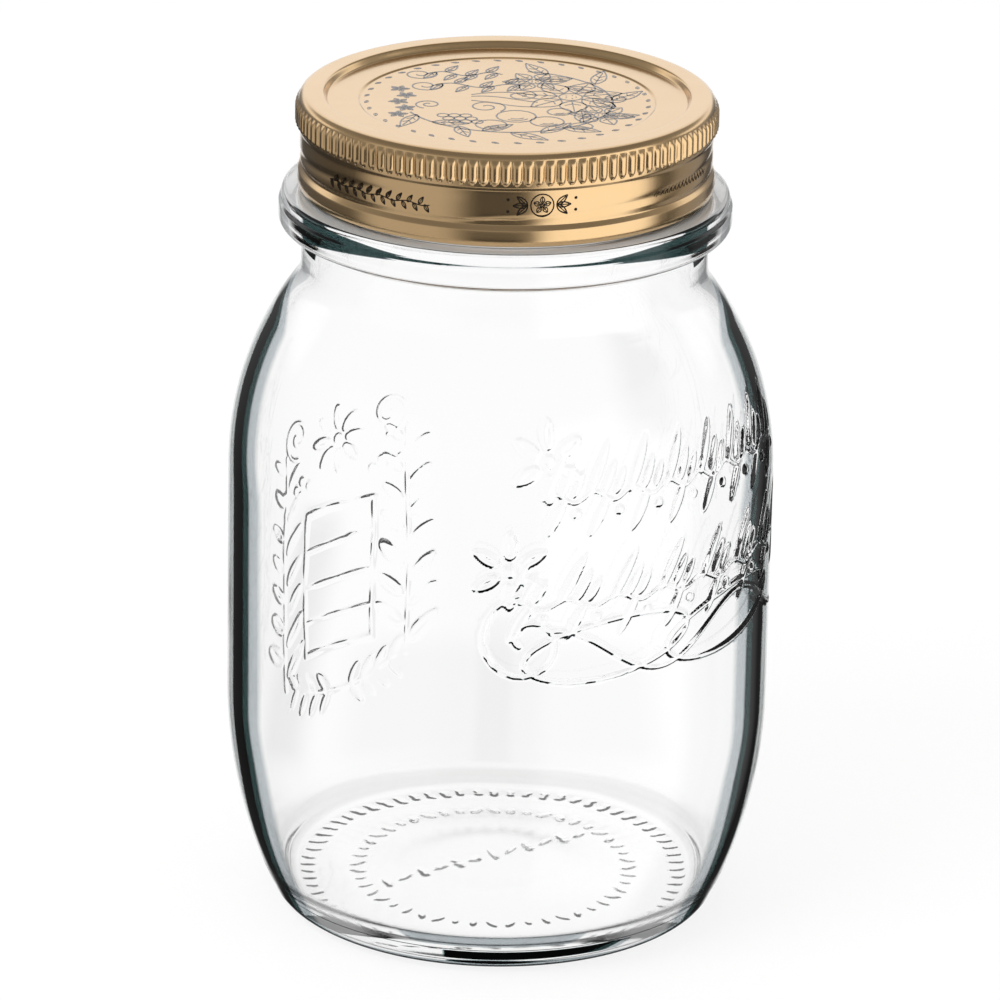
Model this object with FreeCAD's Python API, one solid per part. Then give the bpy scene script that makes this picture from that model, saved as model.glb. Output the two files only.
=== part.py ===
import FreeCAD, Part
import math
import os

# A half-litre preserving jar of clear pressed glass with its one-piece gold-lacquered screw lid.
# Millimetres, +Z up. The origin is the middle of the base, on the surface that the jar stands on.
# The front of the jar is -Y. Two solids: glass_jar and screw_lid.

Vec = FreeCAD.Vector

# ---- Driving dimensions of the glass ----
BODY_R = 46.0            # barrel, half of the 92 mm body
WALL = 3.0               # glass thickness of the barrel and the shoulder
STAND_Z = 0.35           # the bearing ring stands on its stipple bars, this far above the table
HEEL_TOP_Z = 38.0        # the straight barrel runs from here
SHOULDER_Z = 78.5        # up to here
HEEL_ARC_R = 83.0
HEEL_TURN = 24.9         # degrees that the heel leans in from the barrel
HEEL_CORNER_R = 4.4
SHOULDER_ARC_R = 52.0
SHOULDER_TURN = 36.6     # degrees that the shoulder leans in below the neck
NECK_R = 34.0
NECK_FILLET_R = 6.0
COLLAR_Z = (120.2, 126.7)    # the transfer ring under the lid
COLLAR_BEAD_R = 37.85
COLLAR_WALL_R = 37.4
COLLAR_STEP_Z = 124.5
FINISH_R = 33.0          # outside of the threaded mouth, between its ridges
MOUTH_R = 31.0
THREAD_R = 33.7          # tops of the four thread ridges
THREAD_Z = (129.8, 131.2)
THREAD_SPAN = 62.0       # degrees of each ridge
THREAD_COUNT = 4
THREAD_ROOT = 0.5        # how deep the ridges are rooted in the mouth
FLOOR_Z = 5.4            # inside floor at its edge
FLOOR_CROWN = 0.8        # the floor is higher in the middle
PUSH_UP = 1.4            # hollow of the underside at the centre
FLAT_R = 12.0            # the middles of the underside and of the floor are flat
BEARING_IN_R = 30.0      # inner edge of the bearing ring
INNER_HEEL_TURN = 21.7   # the heel is as thick as the wall down to here
INNER_CORNER_R = 4.5

# ---- Stipple bars round the bearing ring ----
BAR_COUNT = 68
BAR_R = (31.0, 34.2)
BAR_WIDTH = 1.1
BAR_ROOT = 0.6           # how deep the bars are rooted in the glass

# ---- Raised mould ornament on the barrel ----
RELIEF = 0.5             # height that the ornament stands proud of the glass
PRISM_R = (39.0, 48.0)   # the ornament is cut from prisms that run outwards between these radii
LEAF_BELLY = 0.45        # a leaf is widest at this share of its length
LABEL_AZ = 131.0         # the plain label panel, at the back left
LABEL_MID_Z = 44.0
LABEL_SIZE = (18.0, 27.0)
LABEL_LINE = 1.3
LABEL_RULES = 3
RULE_LINE = 0.8
SPRIG_LEAVES = 7         # leaves on each side of a sprig
SPRIG_LEAF = (8.0, 3.0)  # length and width
SPRIG_TIP = 0.35         # how much smaller the leaves get towards the tip
SPRIG_LEAN = 48.0        # degrees from upright
SPRIG_X = 15.3           # from the middle of the panel to a sprig's stem
SPRIG_STEM = 0.5         # half the stem's width
SPRIG_LOW_Z = 29.15
SPRIG_STEP = 5.79        # height from one pair of leaves to the next
VINE_AZ = -46.0          # the vine, at the front right
VINE_ROWS_Z = (69.0, 87.0)
VINE_SPAN = (86.0, 70.0) # degrees that each row of the vine covers
VINE_LEAVES = 16
VINE_LEAF = (10.0, 3.0)
VINE_LEAN = 28.0
VINE_DOWN = 0.75         # the leaves that hang down are smaller by this factor
STEM_WIDTH = 1.0
LOOPS_Z = 61.0           # two flat loops of a tendril under the vine
LOOPS_AZ = (-66.0, -34.0)
LOOP_SIZE = (30.0, 10.0)
LOOP_STEPS = 18
LOOP_RISE = 0.12         # how much a loop climbs to the right
LOOP_OVERLAP = 0.6       # the bars of a loop run into each other by this much

# ---- Driving dimensions of the lid ----
LID_Z = (127.2, 142.9)
SHEET = 0.3
CURL_R = 34.8            # outside of the rolled bottom edge
CURL_IN_R = 33.85
CURL_TOP_Z = 130.4
GROOVE_R = 34.05
GROOVE_Z = 130.9
SKIRT_R = 34.35
KNURL_Z = (137.6, 142.0)
KNURL_ROOT_R = 34.65
KNURL_TIP_R = 35.2
KNURL_COUNT = 120
KNURL_RIB_FOOT_R = 34.35  # the ribs are rooted inside the band
KNURL_RIB_WIDTH = (1.7, 0.5)
KNURL_BEVEL = 0.7
RIM_IN_R = 30.5          # inner edge of the flat top ring
PANEL_DROP = 1.15
PANEL_R = 29.9
DISC_R = 24.8            # inner disc, a little lower again
DISC_DROP = 0.25
DISC_BEVEL = 0.4
BAND_Z = (136.7, 137.3)  # the skirt widens here to the knurled band
GROOVE_RISE = 1.0        # the groove opens over this height
CURL_SHOULDER = 0.5
LUG_IN_R = 33.2          # four lugs of the lid catch under the thread ridges
LUG_Z = (127.5, 129.6)
LUG_SPAN = 14.0


def rounded_edges(points):
    """Edges of an open profile in the XZ plane through points (r, z) or (r, z, fillet radius)."""
    corners = [Vec(p[0], 0, p[1]) for p in points]
    radii = [p[2] if len(p) > 2 else 0 for p in points]
    edges = []
    start = corners[0]
    for before, corner, after, radius in zip(corners, corners[1:], corners[2:], radii[1:]):
        if radius == 0:
            edges.append(Part.makeLine(start, corner))
            start = corner
            continue
        back = (before - corner).normalize()
        ahead = (after - corner).normalize()
        half = back.getAngle(ahead) / 2
        reach = radius / math.tan(half)
        middle = corner + (back + ahead).normalize() * (radius / math.sin(half) - radius)
        first = corner + back * reach
        last = corner + ahead * reach
        if (first - start).Length > 1e-6:
            edges.append(Part.makeLine(start, first))
        edges.append(Part.Arc(first, middle, last).toShape())
        start = last
    edges.append(Part.makeLine(start, corners[-1]))
    return edges


def turned(points):
    """The solid that a profile, closed along the Z axis or on itself, makes when turned round Z."""
    edges = rounded_edges(points + [points[0]])
    face = Part.Face(Part.Wire(Part.__sortEdges__(edges)))
    return face.revolve(Vec(0, 0, 0), Vec(0, 0, 1), 360)


def leaning(start, turn, drop):
    """The point reached from start by going down by drop on a line that leans in by turn degrees."""
    return (start[0] - drop * math.tan(math.radians(turn)), start[1] - drop)


def body_outline(proud=0.0):
    """Outside of the glass from the heel corner up to the neck, moved out by proud."""
    heel_corner = (BODY_R + proud, HEEL_TOP_Z - HEEL_ARC_R * math.tan(math.radians(HEEL_TURN / 2)))
    foot = leaning(heel_corner, HEEL_TURN, heel_corner[1] - STAND_Z)
    shoulder_corner_z = SHOULDER_Z + SHOULDER_ARC_R * math.tan(math.radians(SHOULDER_TURN / 2))
    rise = (BODY_R - NECK_R) / math.tan(math.radians(SHOULDER_TURN))
    return [
        (foot[0], foot[1], HEEL_CORNER_R),
        (heel_corner[0], heel_corner[1], HEEL_ARC_R),
        (BODY_R + proud, shoulder_corner_z, SHOULDER_ARC_R),
        (NECK_R + proud, shoulder_corner_z + rise, NECK_FILLET_R),
    ]


def blank():
    """The turned glass: pushed-up base, heel, barrel, shoulder, neck, collar, mouth and inside."""
    shoulder_z = body_outline()[2][1] - WALL * math.tan(math.radians(SHOULDER_TURN / 2))
    inner_r = BODY_R - WALL
    neck_in_z = shoulder_z + (inner_r - MOUTH_R) / math.tan(math.radians(SHOULDER_TURN))
    inner_heel_r = HEEL_ARC_R - WALL
    inner_heel_z = HEEL_TOP_Z - inner_heel_r * math.tan(math.radians(INNER_HEEL_TURN / 2))
    floor_corner = leaning((inner_r, inner_heel_z), INNER_HEEL_TURN, inner_heel_z - FLOOR_Z)
    outside = [
        (0, PUSH_UP),
        (FLAT_R, PUSH_UP, 60.0),
        (BEARING_IN_R, STAND_Z, 6.0),
    ] + body_outline()
    collar = [
        (NECK_R, COLLAR_Z[0], 1.8),
        (COLLAR_BEAD_R, COLLAR_Z[0] + 0.6, 1.4),
        (COLLAR_BEAD_R, COLLAR_STEP_Z, 0.4),
        (COLLAR_WALL_R, COLLAR_STEP_Z + 0.5, 0.3),
        (COLLAR_WALL_R, COLLAR_Z[1], 0.9),
        (FINISH_R, COLLAR_Z[1], 0.5),
    ]
    lip_z = LID_Z[1] - SHEET
    mouth = [
        (FINISH_R, lip_z, 0.7),
        (MOUTH_R, lip_z, 0.6),
    ]
    inside = [
        (MOUTH_R, neck_in_z, 8.0),
        (inner_r, shoulder_z, SHOULDER_ARC_R - WALL),
        (inner_r, inner_heel_z, inner_heel_r),
        (floor_corner[0], floor_corner[1], INNER_CORNER_R),
        (FLAT_R, FLOOR_Z + FLOOR_CROWN, 60.0),
        (0, FLOOR_Z + FLOOR_CROWN),
    ]
    return turned(outside + collar + mouth + inside)


def ring_piece(r_in, r_out, z_low, z_high, middle_az, span):
    """A stretch of a square-edged ring, span degrees long, centred on an azimuth."""
    corners = [Vec(r_in, 0, z_low), Vec(r_out, 0, z_low), Vec(r_out, 0, z_high), Vec(r_in, 0, z_high)]
    face = Part.Face(Part.makePolygon(corners + [corners[0]]))
    solid = face.revolve(Vec(0, 0, 0), Vec(0, 0, 1), span)
    solid.rotate(Vec(0, 0, 0), Vec(0, 0, 1), middle_az - span / 2)
    return solid


def spokes(shape, count, first_az=0.0):
    """Copies of a shape, evenly round Z."""
    out = []
    for i in range(count):
        copy = shape.copy()
        copy.rotate(Vec(0, 0, 0), Vec(0, 0, 1), first_az + 360.0 * i / count)
        out.append(copy)
    return out


def standing(face, azimuth, z):
    """A flat figure drawn in (across, up) becomes a prism that runs outwards at an azimuth."""
    prism = face.extrude(Vec(0, 0, PRISM_R[1] - PRISM_R[0]))
    prism.translate(Vec(0, 0, PRISM_R[0]))
    prism.rotate(Vec(0, 0, 0), Vec(1, 0, 0), 90)
    prism.rotate(Vec(0, 0, 0), Vec(0, 0, 1), 90 + azimuth)
    prism.translate(Vec(0, 0, z))
    return prism


def leaf(length, width, lean):
    """A slim pointed leaf, from its stalk at (0, 0), leaning by lean degrees from upright."""
    tip = Vec(0, length, 0)
    bellies = [Vec(hand * width / 2, length * LEAF_BELLY, 0) for hand in (-1, 1)]
    sides = [Part.Arc(Vec(0, 0, 0), belly, tip).toShape() for belly in bellies]
    face = Part.Face(Part.Wire(sides))
    face.rotate(Vec(0, 0, 0), Vec(0, 0, 1), -lean)
    return face


def bar(width, height, mid_z=0.0):
    """An upright rectangle centred across."""
    face = Part.makePlane(width, height)
    face.translate(Vec(-width / 2, mid_z - height / 2, 0))
    return face


def label_panel():
    """The rectangular frame of the label panel, with plain rules across it."""
    wide, tall = LABEL_SIZE
    frame = bar(wide, tall).cut(bar(wide - 2 * LABEL_LINE, tall - 2 * LABEL_LINE)).Faces[0]
    prisms = [standing(frame, LABEL_AZ, LABEL_MID_Z)]
    for i in range(LABEL_RULES):
        rule_z = LABEL_MID_Z + tall * ((i + 1) / (LABEL_RULES + 1) - 0.5)
        prisms.append(standing(bar(wide - LABEL_LINE, RULE_LINE), LABEL_AZ, rule_z))
    return prisms


def sprig(side):
    """A leafy stem beside the label panel: side is -1 for one hand and 1 for the other."""
    prisms = []
    for i in range(SPRIG_LEAVES):
        size = 1.0 - SPRIG_TIP * i / SPRIG_LEAVES
        for hand in (-1, 1):
            az = LABEL_AZ + math.degrees((side * SPRIG_X + hand * SPRIG_STEM) / BODY_R)
            z = SPRIG_LOW_Z + SPRIG_STEP * (i + 0.5 * (hand > 0))
            face = leaf(SPRIG_LEAF[0] * size, SPRIG_LEAF[1] * size, SPRIG_LEAN * hand)
            prisms.append(standing(face, az, z))
    return prisms


def vine():
    """Two stems round the barrel, with slanting leaves that stand up and hang down by turns."""
    prisms = []
    for row_z, span in zip(VINE_ROWS_Z, VINE_SPAN):
        prisms.append(ring_piece(PRISM_R[0], PRISM_R[1], row_z, row_z + STEM_WIDTH, VINE_AZ, span))
        for i in range(VINE_LEAVES):
            az = VINE_AZ + span * (i / (VINE_LEAVES - 1) - 0.5)
            if i % 2 == 0:
                face = leaf(VINE_LEAF[0], VINE_LEAF[1], VINE_LEAN)
            else:
                face = leaf(VINE_LEAF[0] * VINE_DOWN, VINE_LEAF[1], VINE_LEAN + 180.0)
            prisms.append(standing(face, az, row_z + STEM_WIDTH / 2))
    return prisms


def loops():
    """The tendril under the vine: two overlapping flat loops, each a chain of short bars."""
    prisms = []
    for middle_az in LOOPS_AZ:
        ring = []
        for i in range(LOOP_STEPS + 1):
            turn = 2 * math.pi * i / LOOP_STEPS
            across = LOOP_SIZE[0] / 2 * math.cos(turn)
            up = LOOP_SIZE[1] / 2 * math.sin(turn) + LOOP_RISE * across
            ring.append((across, LOOPS_Z + up))
        for (x0, z0), (x1, z1) in zip(ring, ring[1:]):
            face = bar(math.hypot(x1 - x0, z1 - z0) + LOOP_OVERLAP, STEM_WIDTH)
            face.rotate(Vec(0, 0, 0), Vec(0, 0, 1), math.degrees(math.atan2(z1 - z0, x1 - x0)))
            az = middle_az + math.degrees((x0 + x1) / 2 / BODY_R)
            prisms.append(standing(face, az, (z0 + z1) / 2))
    return prisms


def relief():
    """The ornament: prisms cut back to a skin that stands RELIEF proud of the glass."""
    outline = body_outline(RELIEF)
    skin = turned([(0, outline[0][1])] + outline + [(NECK_R + RELIEF, COLLAR_Z[0]), (0, COLLAR_Z[0])])
    prisms = label_panel() + sprig(-1) + sprig(1) + vine() + loops()
    return [prism.common(skin) for prism in prisms]


def glass_jar():
    corner = Vec(BAR_R[0], -BAR_WIDTH / 2, 0)
    stipple = Part.makeBox(BAR_R[1] - BAR_R[0], BAR_WIDTH, STAND_Z + BAR_ROOT, corner)
    thread = ring_piece(FINISH_R - THREAD_ROOT, THREAD_R, THREAD_Z[0], THREAD_Z[1], 0, THREAD_SPAN)
    raised = spokes(stipple, BAR_COUNT) + spokes(thread, THREAD_COUNT) + relief()
    return blank().fuse(raised)


def lid_shell():
    """The drawn sheet: curl, groove, skirt, shoulder, flat top ring, recessed panel and inner disc."""
    low, top = LID_Z
    panel_z = top - PANEL_DROP
    disc_z = panel_z - DISC_DROP
    outside = [
        (0, disc_z),
        (DISC_R - DISC_BEVEL, disc_z, 0.4),
        (DISC_R, panel_z, 0.4),
        (PANEL_R, panel_z, 0.4),
        (RIM_IN_R, top, 0.5),
        (KNURL_ROOT_R, top, 1.3),
        (KNURL_ROOT_R, BAND_Z[1], 0.6),
        (SKIRT_R, BAND_Z[0], 0.6),
        (SKIRT_R, GROOVE_Z + GROOVE_RISE, 0.6),
        (GROOVE_R, GROOVE_Z, 0.3),
        (CURL_R, CURL_TOP_Z - CURL_SHOULDER, 0.6),
        (CURL_R, low, 0.7),
    ]
    inside = [
        (CURL_IN_R, low, 0.3),
        (CURL_IN_R, LUG_Z[1], 0.2),
        (SKIRT_R - SHEET, LUG_Z[1] + CURL_SHOULDER, 0.3),
        (SKIRT_R - SHEET, top - SHEET, 1.0),
        (RIM_IN_R + SHEET, top - SHEET, 0.25),
        (PANEL_R + SHEET, panel_z - SHEET, 0.6),
        (DISC_R, panel_z - SHEET, 0.3),
        (DISC_R - DISC_BEVEL, disc_z - SHEET, 0.3),
        (0, disc_z - SHEET),
    ]
    return turned(outside + inside)


def knurl_rib():
    """One upright rib of the knurled band: a long bevelled pad, wider and taller at its root."""
    low, high = KNURL_Z
    root, crest = KNURL_RIB_WIDTH[0] / 2, KNURL_RIB_WIDTH[1] / 2
    depth = KNURL_TIP_R - KNURL_RIB_FOOT_R
    rib = Part.makeWedge(-root, 0, low, low + KNURL_BEVEL, -crest,
                         root, depth, high, high - KNURL_BEVEL, crest)
    rib.translate(Vec(0, KNURL_RIB_FOOT_R, 0))
    return rib


def screw_lid():
    lug = ring_piece(LUG_IN_R, SKIRT_R, LUG_Z[0], LUG_Z[1], 0, LUG_SPAN)
    return lid_shell().fuse(spokes(knurl_rib(), KNURL_COUNT) + spokes(lug, THREAD_COUNT))


def write(name, shape):
    shape = shape.removeSplitter()
    solid = shape.Solids[0]
    if len(shape.Solids) != 1 or not solid.isValid():
        raise RuntimeError(name + " is not one valid solid")
    solid.exportStep("parts/" + name + ".step")
    box = solid.optimalBoundingBox()
    print(name, "%.1f x %.1f x %.1f mm" % (box.XLength, box.YLength, box.ZLength))
    print("z %.2f to %.2f" % (box.ZMin, box.ZMax), "%.1f cm3" % (solid.Volume / 1000))


os.makedirs("parts", exist_ok=True)
write("glass_jar", glass_jar())
write("screw_lid", screw_lid())
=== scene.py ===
"""A clear pressed-glass preserving jar with its gold-lacquered screw lid, dressed around the CAD frame."""
import math
import random

import bpy
import numpy as np
from bpy.props import FloatProperty, IntProperty, PointerProperty, StringProperty
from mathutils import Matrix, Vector


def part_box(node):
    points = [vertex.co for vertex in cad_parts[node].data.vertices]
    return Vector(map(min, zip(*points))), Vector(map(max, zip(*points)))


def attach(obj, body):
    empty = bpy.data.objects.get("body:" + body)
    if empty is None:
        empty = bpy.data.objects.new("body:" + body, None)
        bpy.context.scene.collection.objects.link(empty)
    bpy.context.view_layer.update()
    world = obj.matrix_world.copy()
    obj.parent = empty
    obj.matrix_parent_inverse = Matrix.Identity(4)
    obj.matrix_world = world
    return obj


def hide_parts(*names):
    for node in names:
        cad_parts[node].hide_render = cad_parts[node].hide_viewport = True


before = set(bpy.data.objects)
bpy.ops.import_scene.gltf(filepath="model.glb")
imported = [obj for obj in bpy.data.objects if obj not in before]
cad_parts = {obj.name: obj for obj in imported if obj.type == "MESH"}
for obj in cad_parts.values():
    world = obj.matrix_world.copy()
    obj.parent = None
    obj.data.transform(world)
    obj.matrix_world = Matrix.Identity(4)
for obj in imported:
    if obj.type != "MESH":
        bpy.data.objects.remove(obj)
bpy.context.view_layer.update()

bl_info = {
    "name": "Preserving jar",
    "version": (1, 0, 0),
    "blender": (4, 5, 0),
    "location": "View3D > Sidebar > Jar",
    "description": "Builds a glass preserving jar, its screw lid with print, and a plain studio",
    "category": "Object",
}

MM = 0.001

# ---- Glass sizes in millimetres, the same as the frame's ----
BODY_R = 46.0
WALL = 3.0
STAND_Z = 0.35
HEEL_TOP_Z = 38.0
SHOULDER_Z = 78.5
HEEL_ARC_R = 83.0
HEEL_TURN = 24.9
HEEL_CORNER_R = 4.4
SHOULDER_ARC_R = 52.0
SHOULDER_TURN = 36.6
NECK_R = 34.0
COLLAR_Z = (120.2, 126.7)
COLLAR_BEAD_R = 37.85
COLLAR_WALL_R = 37.4
COLLAR_STEP_Z = 124.5
FINISH_R = 33.0
MOUTH_R = 31.0
FLOOR_Z = 5.4
FLOOR_CROWN = 0.8
PUSH_UP = 1.4
BEARING_R = (30.0, 35.2)
INNER_HEEL_TURN = 21.7
INNER_CORNER_R = 4.5
FLAT_R = 12.0
LIP_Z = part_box("glass_jar")[1][2] / MM

# ---- Ornament on the glass: lengths in millimetres, azimuths and leans in degrees ----
PARTING = (-2.4, 6.0, 0.88)      # azimuth of the mould's parting line, width and share of the flattening
LABEL_AZ = 131.0
LABEL_WEAR = (28.0, 0.85)        # reach and share
LABEL_MID_Z = 44.0
LABEL_SIZE = (18.0, 27.0)
LABEL_LINE = 1.3
LABEL_RULES = 3
SPRIG_LEAVES = 7
SPRIG_LEAF = (8.0, 3.0)
SPRIG_LEAN = 48.0
VINE_AZ = -46.0
VINE_ROWS_Z = (69.5, 87.5)
VINE_SPAN = (86.0, 70.0)
VINE_LEAVES = 16
VINE_UP = ((0.0, 10.0, 1.86), (2.6, 6.4, 1.7), (4.9, 5.0, 1.5))  # leaves: how far along, length, width
VINE_DOWN = (7.5, 1.86)
VINE_LEAN = 28.0
VINE_SEED = (1.9, -2.6, 0.9)     # how far along and up, radius
LOOPS_Z = 61.0
LOOPS_AZ = (-66.0, -34.0)
LOOP_SIZE = (30.0, 10.0)
LOOP_RISE = 0.12
STROKE = 1.0
MARKS_R = 23.5                   # ring of marks on the underside
MARKS_COUNT = 48
MARKS_HEIGHT = 0.55              # as a share of the relief height
RING_MARKS = ((1.5, 0.7), (1.5, -0.7), (0.6, 0.0), (1.2, 0.0))   # length and lean in radians, by turns
ROW_MARKS = ((2.3, 2.0), (1.6, 1.1))
ROW_COUNT = 12                   # row of larger marks across it
ROW_FROM = (-18.0, -8.0)
ROW_TO = (15.0, 13.0)
STIPPLE_SOFT = 0.5
STIPPLE_CREST = (0.2, 0.8)       # of the wave round the ring, from the foot of a bar to its full height
STIPPLE_TOP_Z = 2.0              # the bars are under this height only
STIPPLE_SHIFT = 0.6              # how far the ends of the bars are out of line
SHOWS = 0.02                     # share of the relief height from which the grid is finer

# ---- Lid sizes in millimetres ----
LID_LOW, LID_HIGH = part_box("screw_lid")
LID_Z = (LID_LOW[2] / MM, LID_HIGH[2] / MM)
SHEET = 0.3
CURL_R = 34.8
CURL_IN_R = 33.85
CURL_TOP_Z = 130.4
GROOVE_R = 34.05
GROOVE_Z = 130.9
SKIRT_R = 34.35
KNURL_Z = (137.6, 142.0)
KNURL_ROOT_R = 34.65
RIM_ROUND_R = 1.3
RIM_IN_R = 30.5
PANEL_R = 29.9
PANEL_DROP = 1.15
PANEL_Z = LID_Z[1] - PANEL_DROP
DISC_R = 24.8
DISC_DROP = 0.25
DISC_Z = PANEL_Z - DISC_DROP
THREAD_STARTS = (-1.95, 0.15, 2.24)  # radians round the lid
THREAD_LENGTH = 2.3
THREAD_ENDS = (0.35, 0.5)        # radians over which it begins and ends
THREAD_CLIMB = 1.95              # in a radian
THREAD_DEPTH = 0.25
THREAD_WIDTH = 0.55
RIB_SHAPE = 2.6                  # a higher power is flatter on top
RIB_SUNK = 0.03
RIB_GRID = (10, 12)              # cells across and up
INK_PROUD = 0.03
INK_SUNK = 0.02
SKIRT_LINE = 0.22
FADED_GREY, FADED_BROWN = "#ABA59C", "#2A1E10"   # of the inks, where they lie thin

# ---- Grid of the glass ----
COLUMNS = 128
FINE = 8                                 # a cell can be halved three times
MARGINS = (6, 2, 0)                      # finest cells to the ornament within which each level is halved
ROW_STEP, ROW_TURN = 2.25, 12.0          # between rows: along the profile and, on its arcs, in degrees
FIRST_R = BODY_R - 8.5                   # the rows that can hold ornament start here, on the heel
LAST_Z = COLLAR_Z[0] - 6.0               # and end here
BEARING_MARGIN = 0.4
SMOOTH_MOUTH = 6.0                       # depth down to which the inner wall doesn't wave
LID_COLUMNS = 240
LID_STEP, LID_TURN = 0.45, 15.0

# ---- Looks of the glass: painted shade and painted light in its colour ----
# Heights are in millimetres. A turn is 0 where the wall faces the eye and 1 where it is edge on; a slope
# is the upward part of its normal. A third number in a range is its softness.
# The ramp paints shade into the glass's colour: grey and then black where the wall is seen edge on, in place
# of the dark studio that the glass would show there, with a painted light rim past the black core.
CLEAR_UNTIL = 0.545
EDGE_RAMP = ((0.580, "#98A2A6"), (0.630, "#8F9A9F"), (0.645, "#030C0C"), (0.680, "#030C0C"))
EDGE_CORE = (0.695, 0.805)
EDGE_RIM = (0.835, "#C8D2D2")
PALE, SOFT, DUSK, TEAL, BLACK = 0.56, 0.60, 0.634, 0.68, 0.75    # places on that ramp
UPRIGHT_SLOPE = (0.70, 0.88)     # between these the wall stops showing the painted dark edges
NECK_Z = (104.0, 113.0)          # above this the wall's painted dark edges stay light
NECK_TONE = 0.62
HEEL_Z = (6.0, 32.0)             # below this the painted dark edge gets thinner
HEEL_THINNER = 0.09
FOOT_SLOPE = (-0.44, -0.60)      # painted grey shade: the wall gets grey between these, where it turns under
COLLAR_DARK_Z = 124.8            # middle of the painted dark crescent of shade in the collar
COLLAR_DARK_WIDTH = (5.2, -0.2)  # how much wider it is with a turn of 1, and its width with none
COLLAR_DARK_TURN = (0.56, 0.66)
NOTCH_Z = (117.2, 119.9, 0.3)    # painted dark notch of shade under the collar, at the sides
NOTCH_TURN = (0.60, 0.68)
CRESCENT_Z = (1.45, 4.8, 0.25)   # painted dark crescent of shade in the heel
CRESCENT_TURN = (0.35, 0.44)
CRESCENT_TAPER = (2.9, 0.2)      # below this height it is longer, by this much of a turn a millimetre
CRESCENT_LONGER = (0.15, 1.0, 0.0, 0.20)     # from and to azimuth in radians, from and to how much longer
CRESCENT_GAP = (-0.95, -0.55, -0.27, -0.19)  # azimuths in radians where it begins, is open, and ends
GREY_SHADE_Z = (5.2, 8.5, 0.9)         # painted grey shade over the crescent
BLUR_Z = (5.6, 9.0, 0.6)
BLUR = 0.15                      # roughness there
HEEL_LINES_Z = (1.5, 4.95)       # painted thin dark lines of shade round the heel
HEEL_LINE = (0.12, 0.1)          # half their width, and softness
# Painted light: where these hold, the glass turns light grey and partly opaque, on the flat top of the
# collar, at the rims of the collar and the neck, and in the corner of the heel.
COLLAR_TOP_Z = (126.2, 127.2, 0.2)
COLLAR_TOP_SLOPE = (0.6, 0.9)
PALE_RIMS_Z = ((120.7, 126.6, 0.5), (108.5, 116.8, 0.5))     # collar and neck, painted light at their edges
PALE_RIMS_TURN = (0.62, 0.72)
PALE_HEEL_Z = (1.0, 9.0, 1.0)    # painted light in the corner of the heel
PALE_HEEL_TURN = (0.45, 0.72, 0.05)
PALE_HEEL = 0.6
PALE_SHARE = 0.65                # how much of the clear glass the places of painted light lose
FLANK_SLOPE = (-0.07, -0.24)     # the flanks of the ornament that show as painted dark lines of shade
FLANK_RELIEF = (0.08, 0.25)
FLANK_BREAKS = (0.40, 0.52)
FLANK_Z = (20.0, 24.0)
FLANK_TURN = (0.085, 0.135)

# ---- Studio ----
FLOOR_HALF = 3000.0
FLOOR_COLOUR = "#F6F6F6"
FLOOR_SHARE = 0.8                        # of the glow in what the camera sees of the floor
CONTACT_R = (36.0, 40.0, 48.0, 53.0)     # painted contact shadow: soft ring of the floor round the jar's foot, darker as seen through the glass, in millimetres
CONTACT_LEVEL = 0.88
FLOOR_GLOW = 1.045
LAMP_AT, LAMP_AIM = (-0.5, -0.5, 0.9), (0.0, 0.0, 0.1)
LAMP_SIZE, LAMP_POWER = 0.5, 4.0
PATCHES = (                              # painted grey reflections, on the floor as seen through the glass: from and to x and y, softness, grey
    (-55.0, -41.0, 50.0, 180.0, 5.0, 0.86),
    (-31.0, 34.0, 56.0, 118.0, 6.0, 0.94),
    (-4.0, 3.0, 56.0, 130.0, 1.5, 0.95),
    (33.0, 50.0, 236.0, 320.0, 6.0, 0.90),
)
ROOM_STOPS = ((0.30, 0.05), (0.45, 0.20), (0.62, 0.42), (0.90, 0.24))    # height from 0 to 1, grey
# Bright parts of the room: from and to azimuth in degrees from the front, with the right positive and both
# hands alike where it runs past 180, softness, from and to height from -1 to 1, strength.
BOXES = (
    (164.0, 400.0, 5.0, -0.60, 0.60, 1.20),
    (110.0, 400.0, 6.0, 0.16, 0.42, 1.30),
    (160.0, 400.0, 6.0, 0.40, 0.95, 1.00),
    (18.0, 88.0, 8.0, -0.80, 0.45, 1.55),
    (106.0, 144.0, 8.0, -0.80, 0.20, 0.38),
    (-86.0, -24.0, 12.0, -0.80, 0.45, 0.64),
    (-30.0, 30.0, 8.0, -0.82, -0.56, 0.60),
)


def linear(hex_colour):
    """An sRGB hex colour as linear RGBA."""
    values = [int(hex_colour[i:i + 2], 16) / 255 for i in (1, 3, 5)]
    return tuple(v / 12.92 if v <= 0.04045 else ((v + 0.055) / 1.055) ** 2.4 for v in values) + (1.0,)


def add(tree, kind, inputs=None, **settings):
    """One node with its settings; an input given as a socket or a number is linked, others are set."""
    made = tree.nodes.new(kind)
    for key, value in settings.items():
        setattr(made, key, value)
    for key, value in (inputs or {}).items():
        if isinstance(value, Number):
            value = value.socket
        if isinstance(value, bpy.types.NodeSocket):
            tree.links.new(value, made.inputs[key])
        else:
            made.inputs[key].default_value = value
    return made


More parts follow.
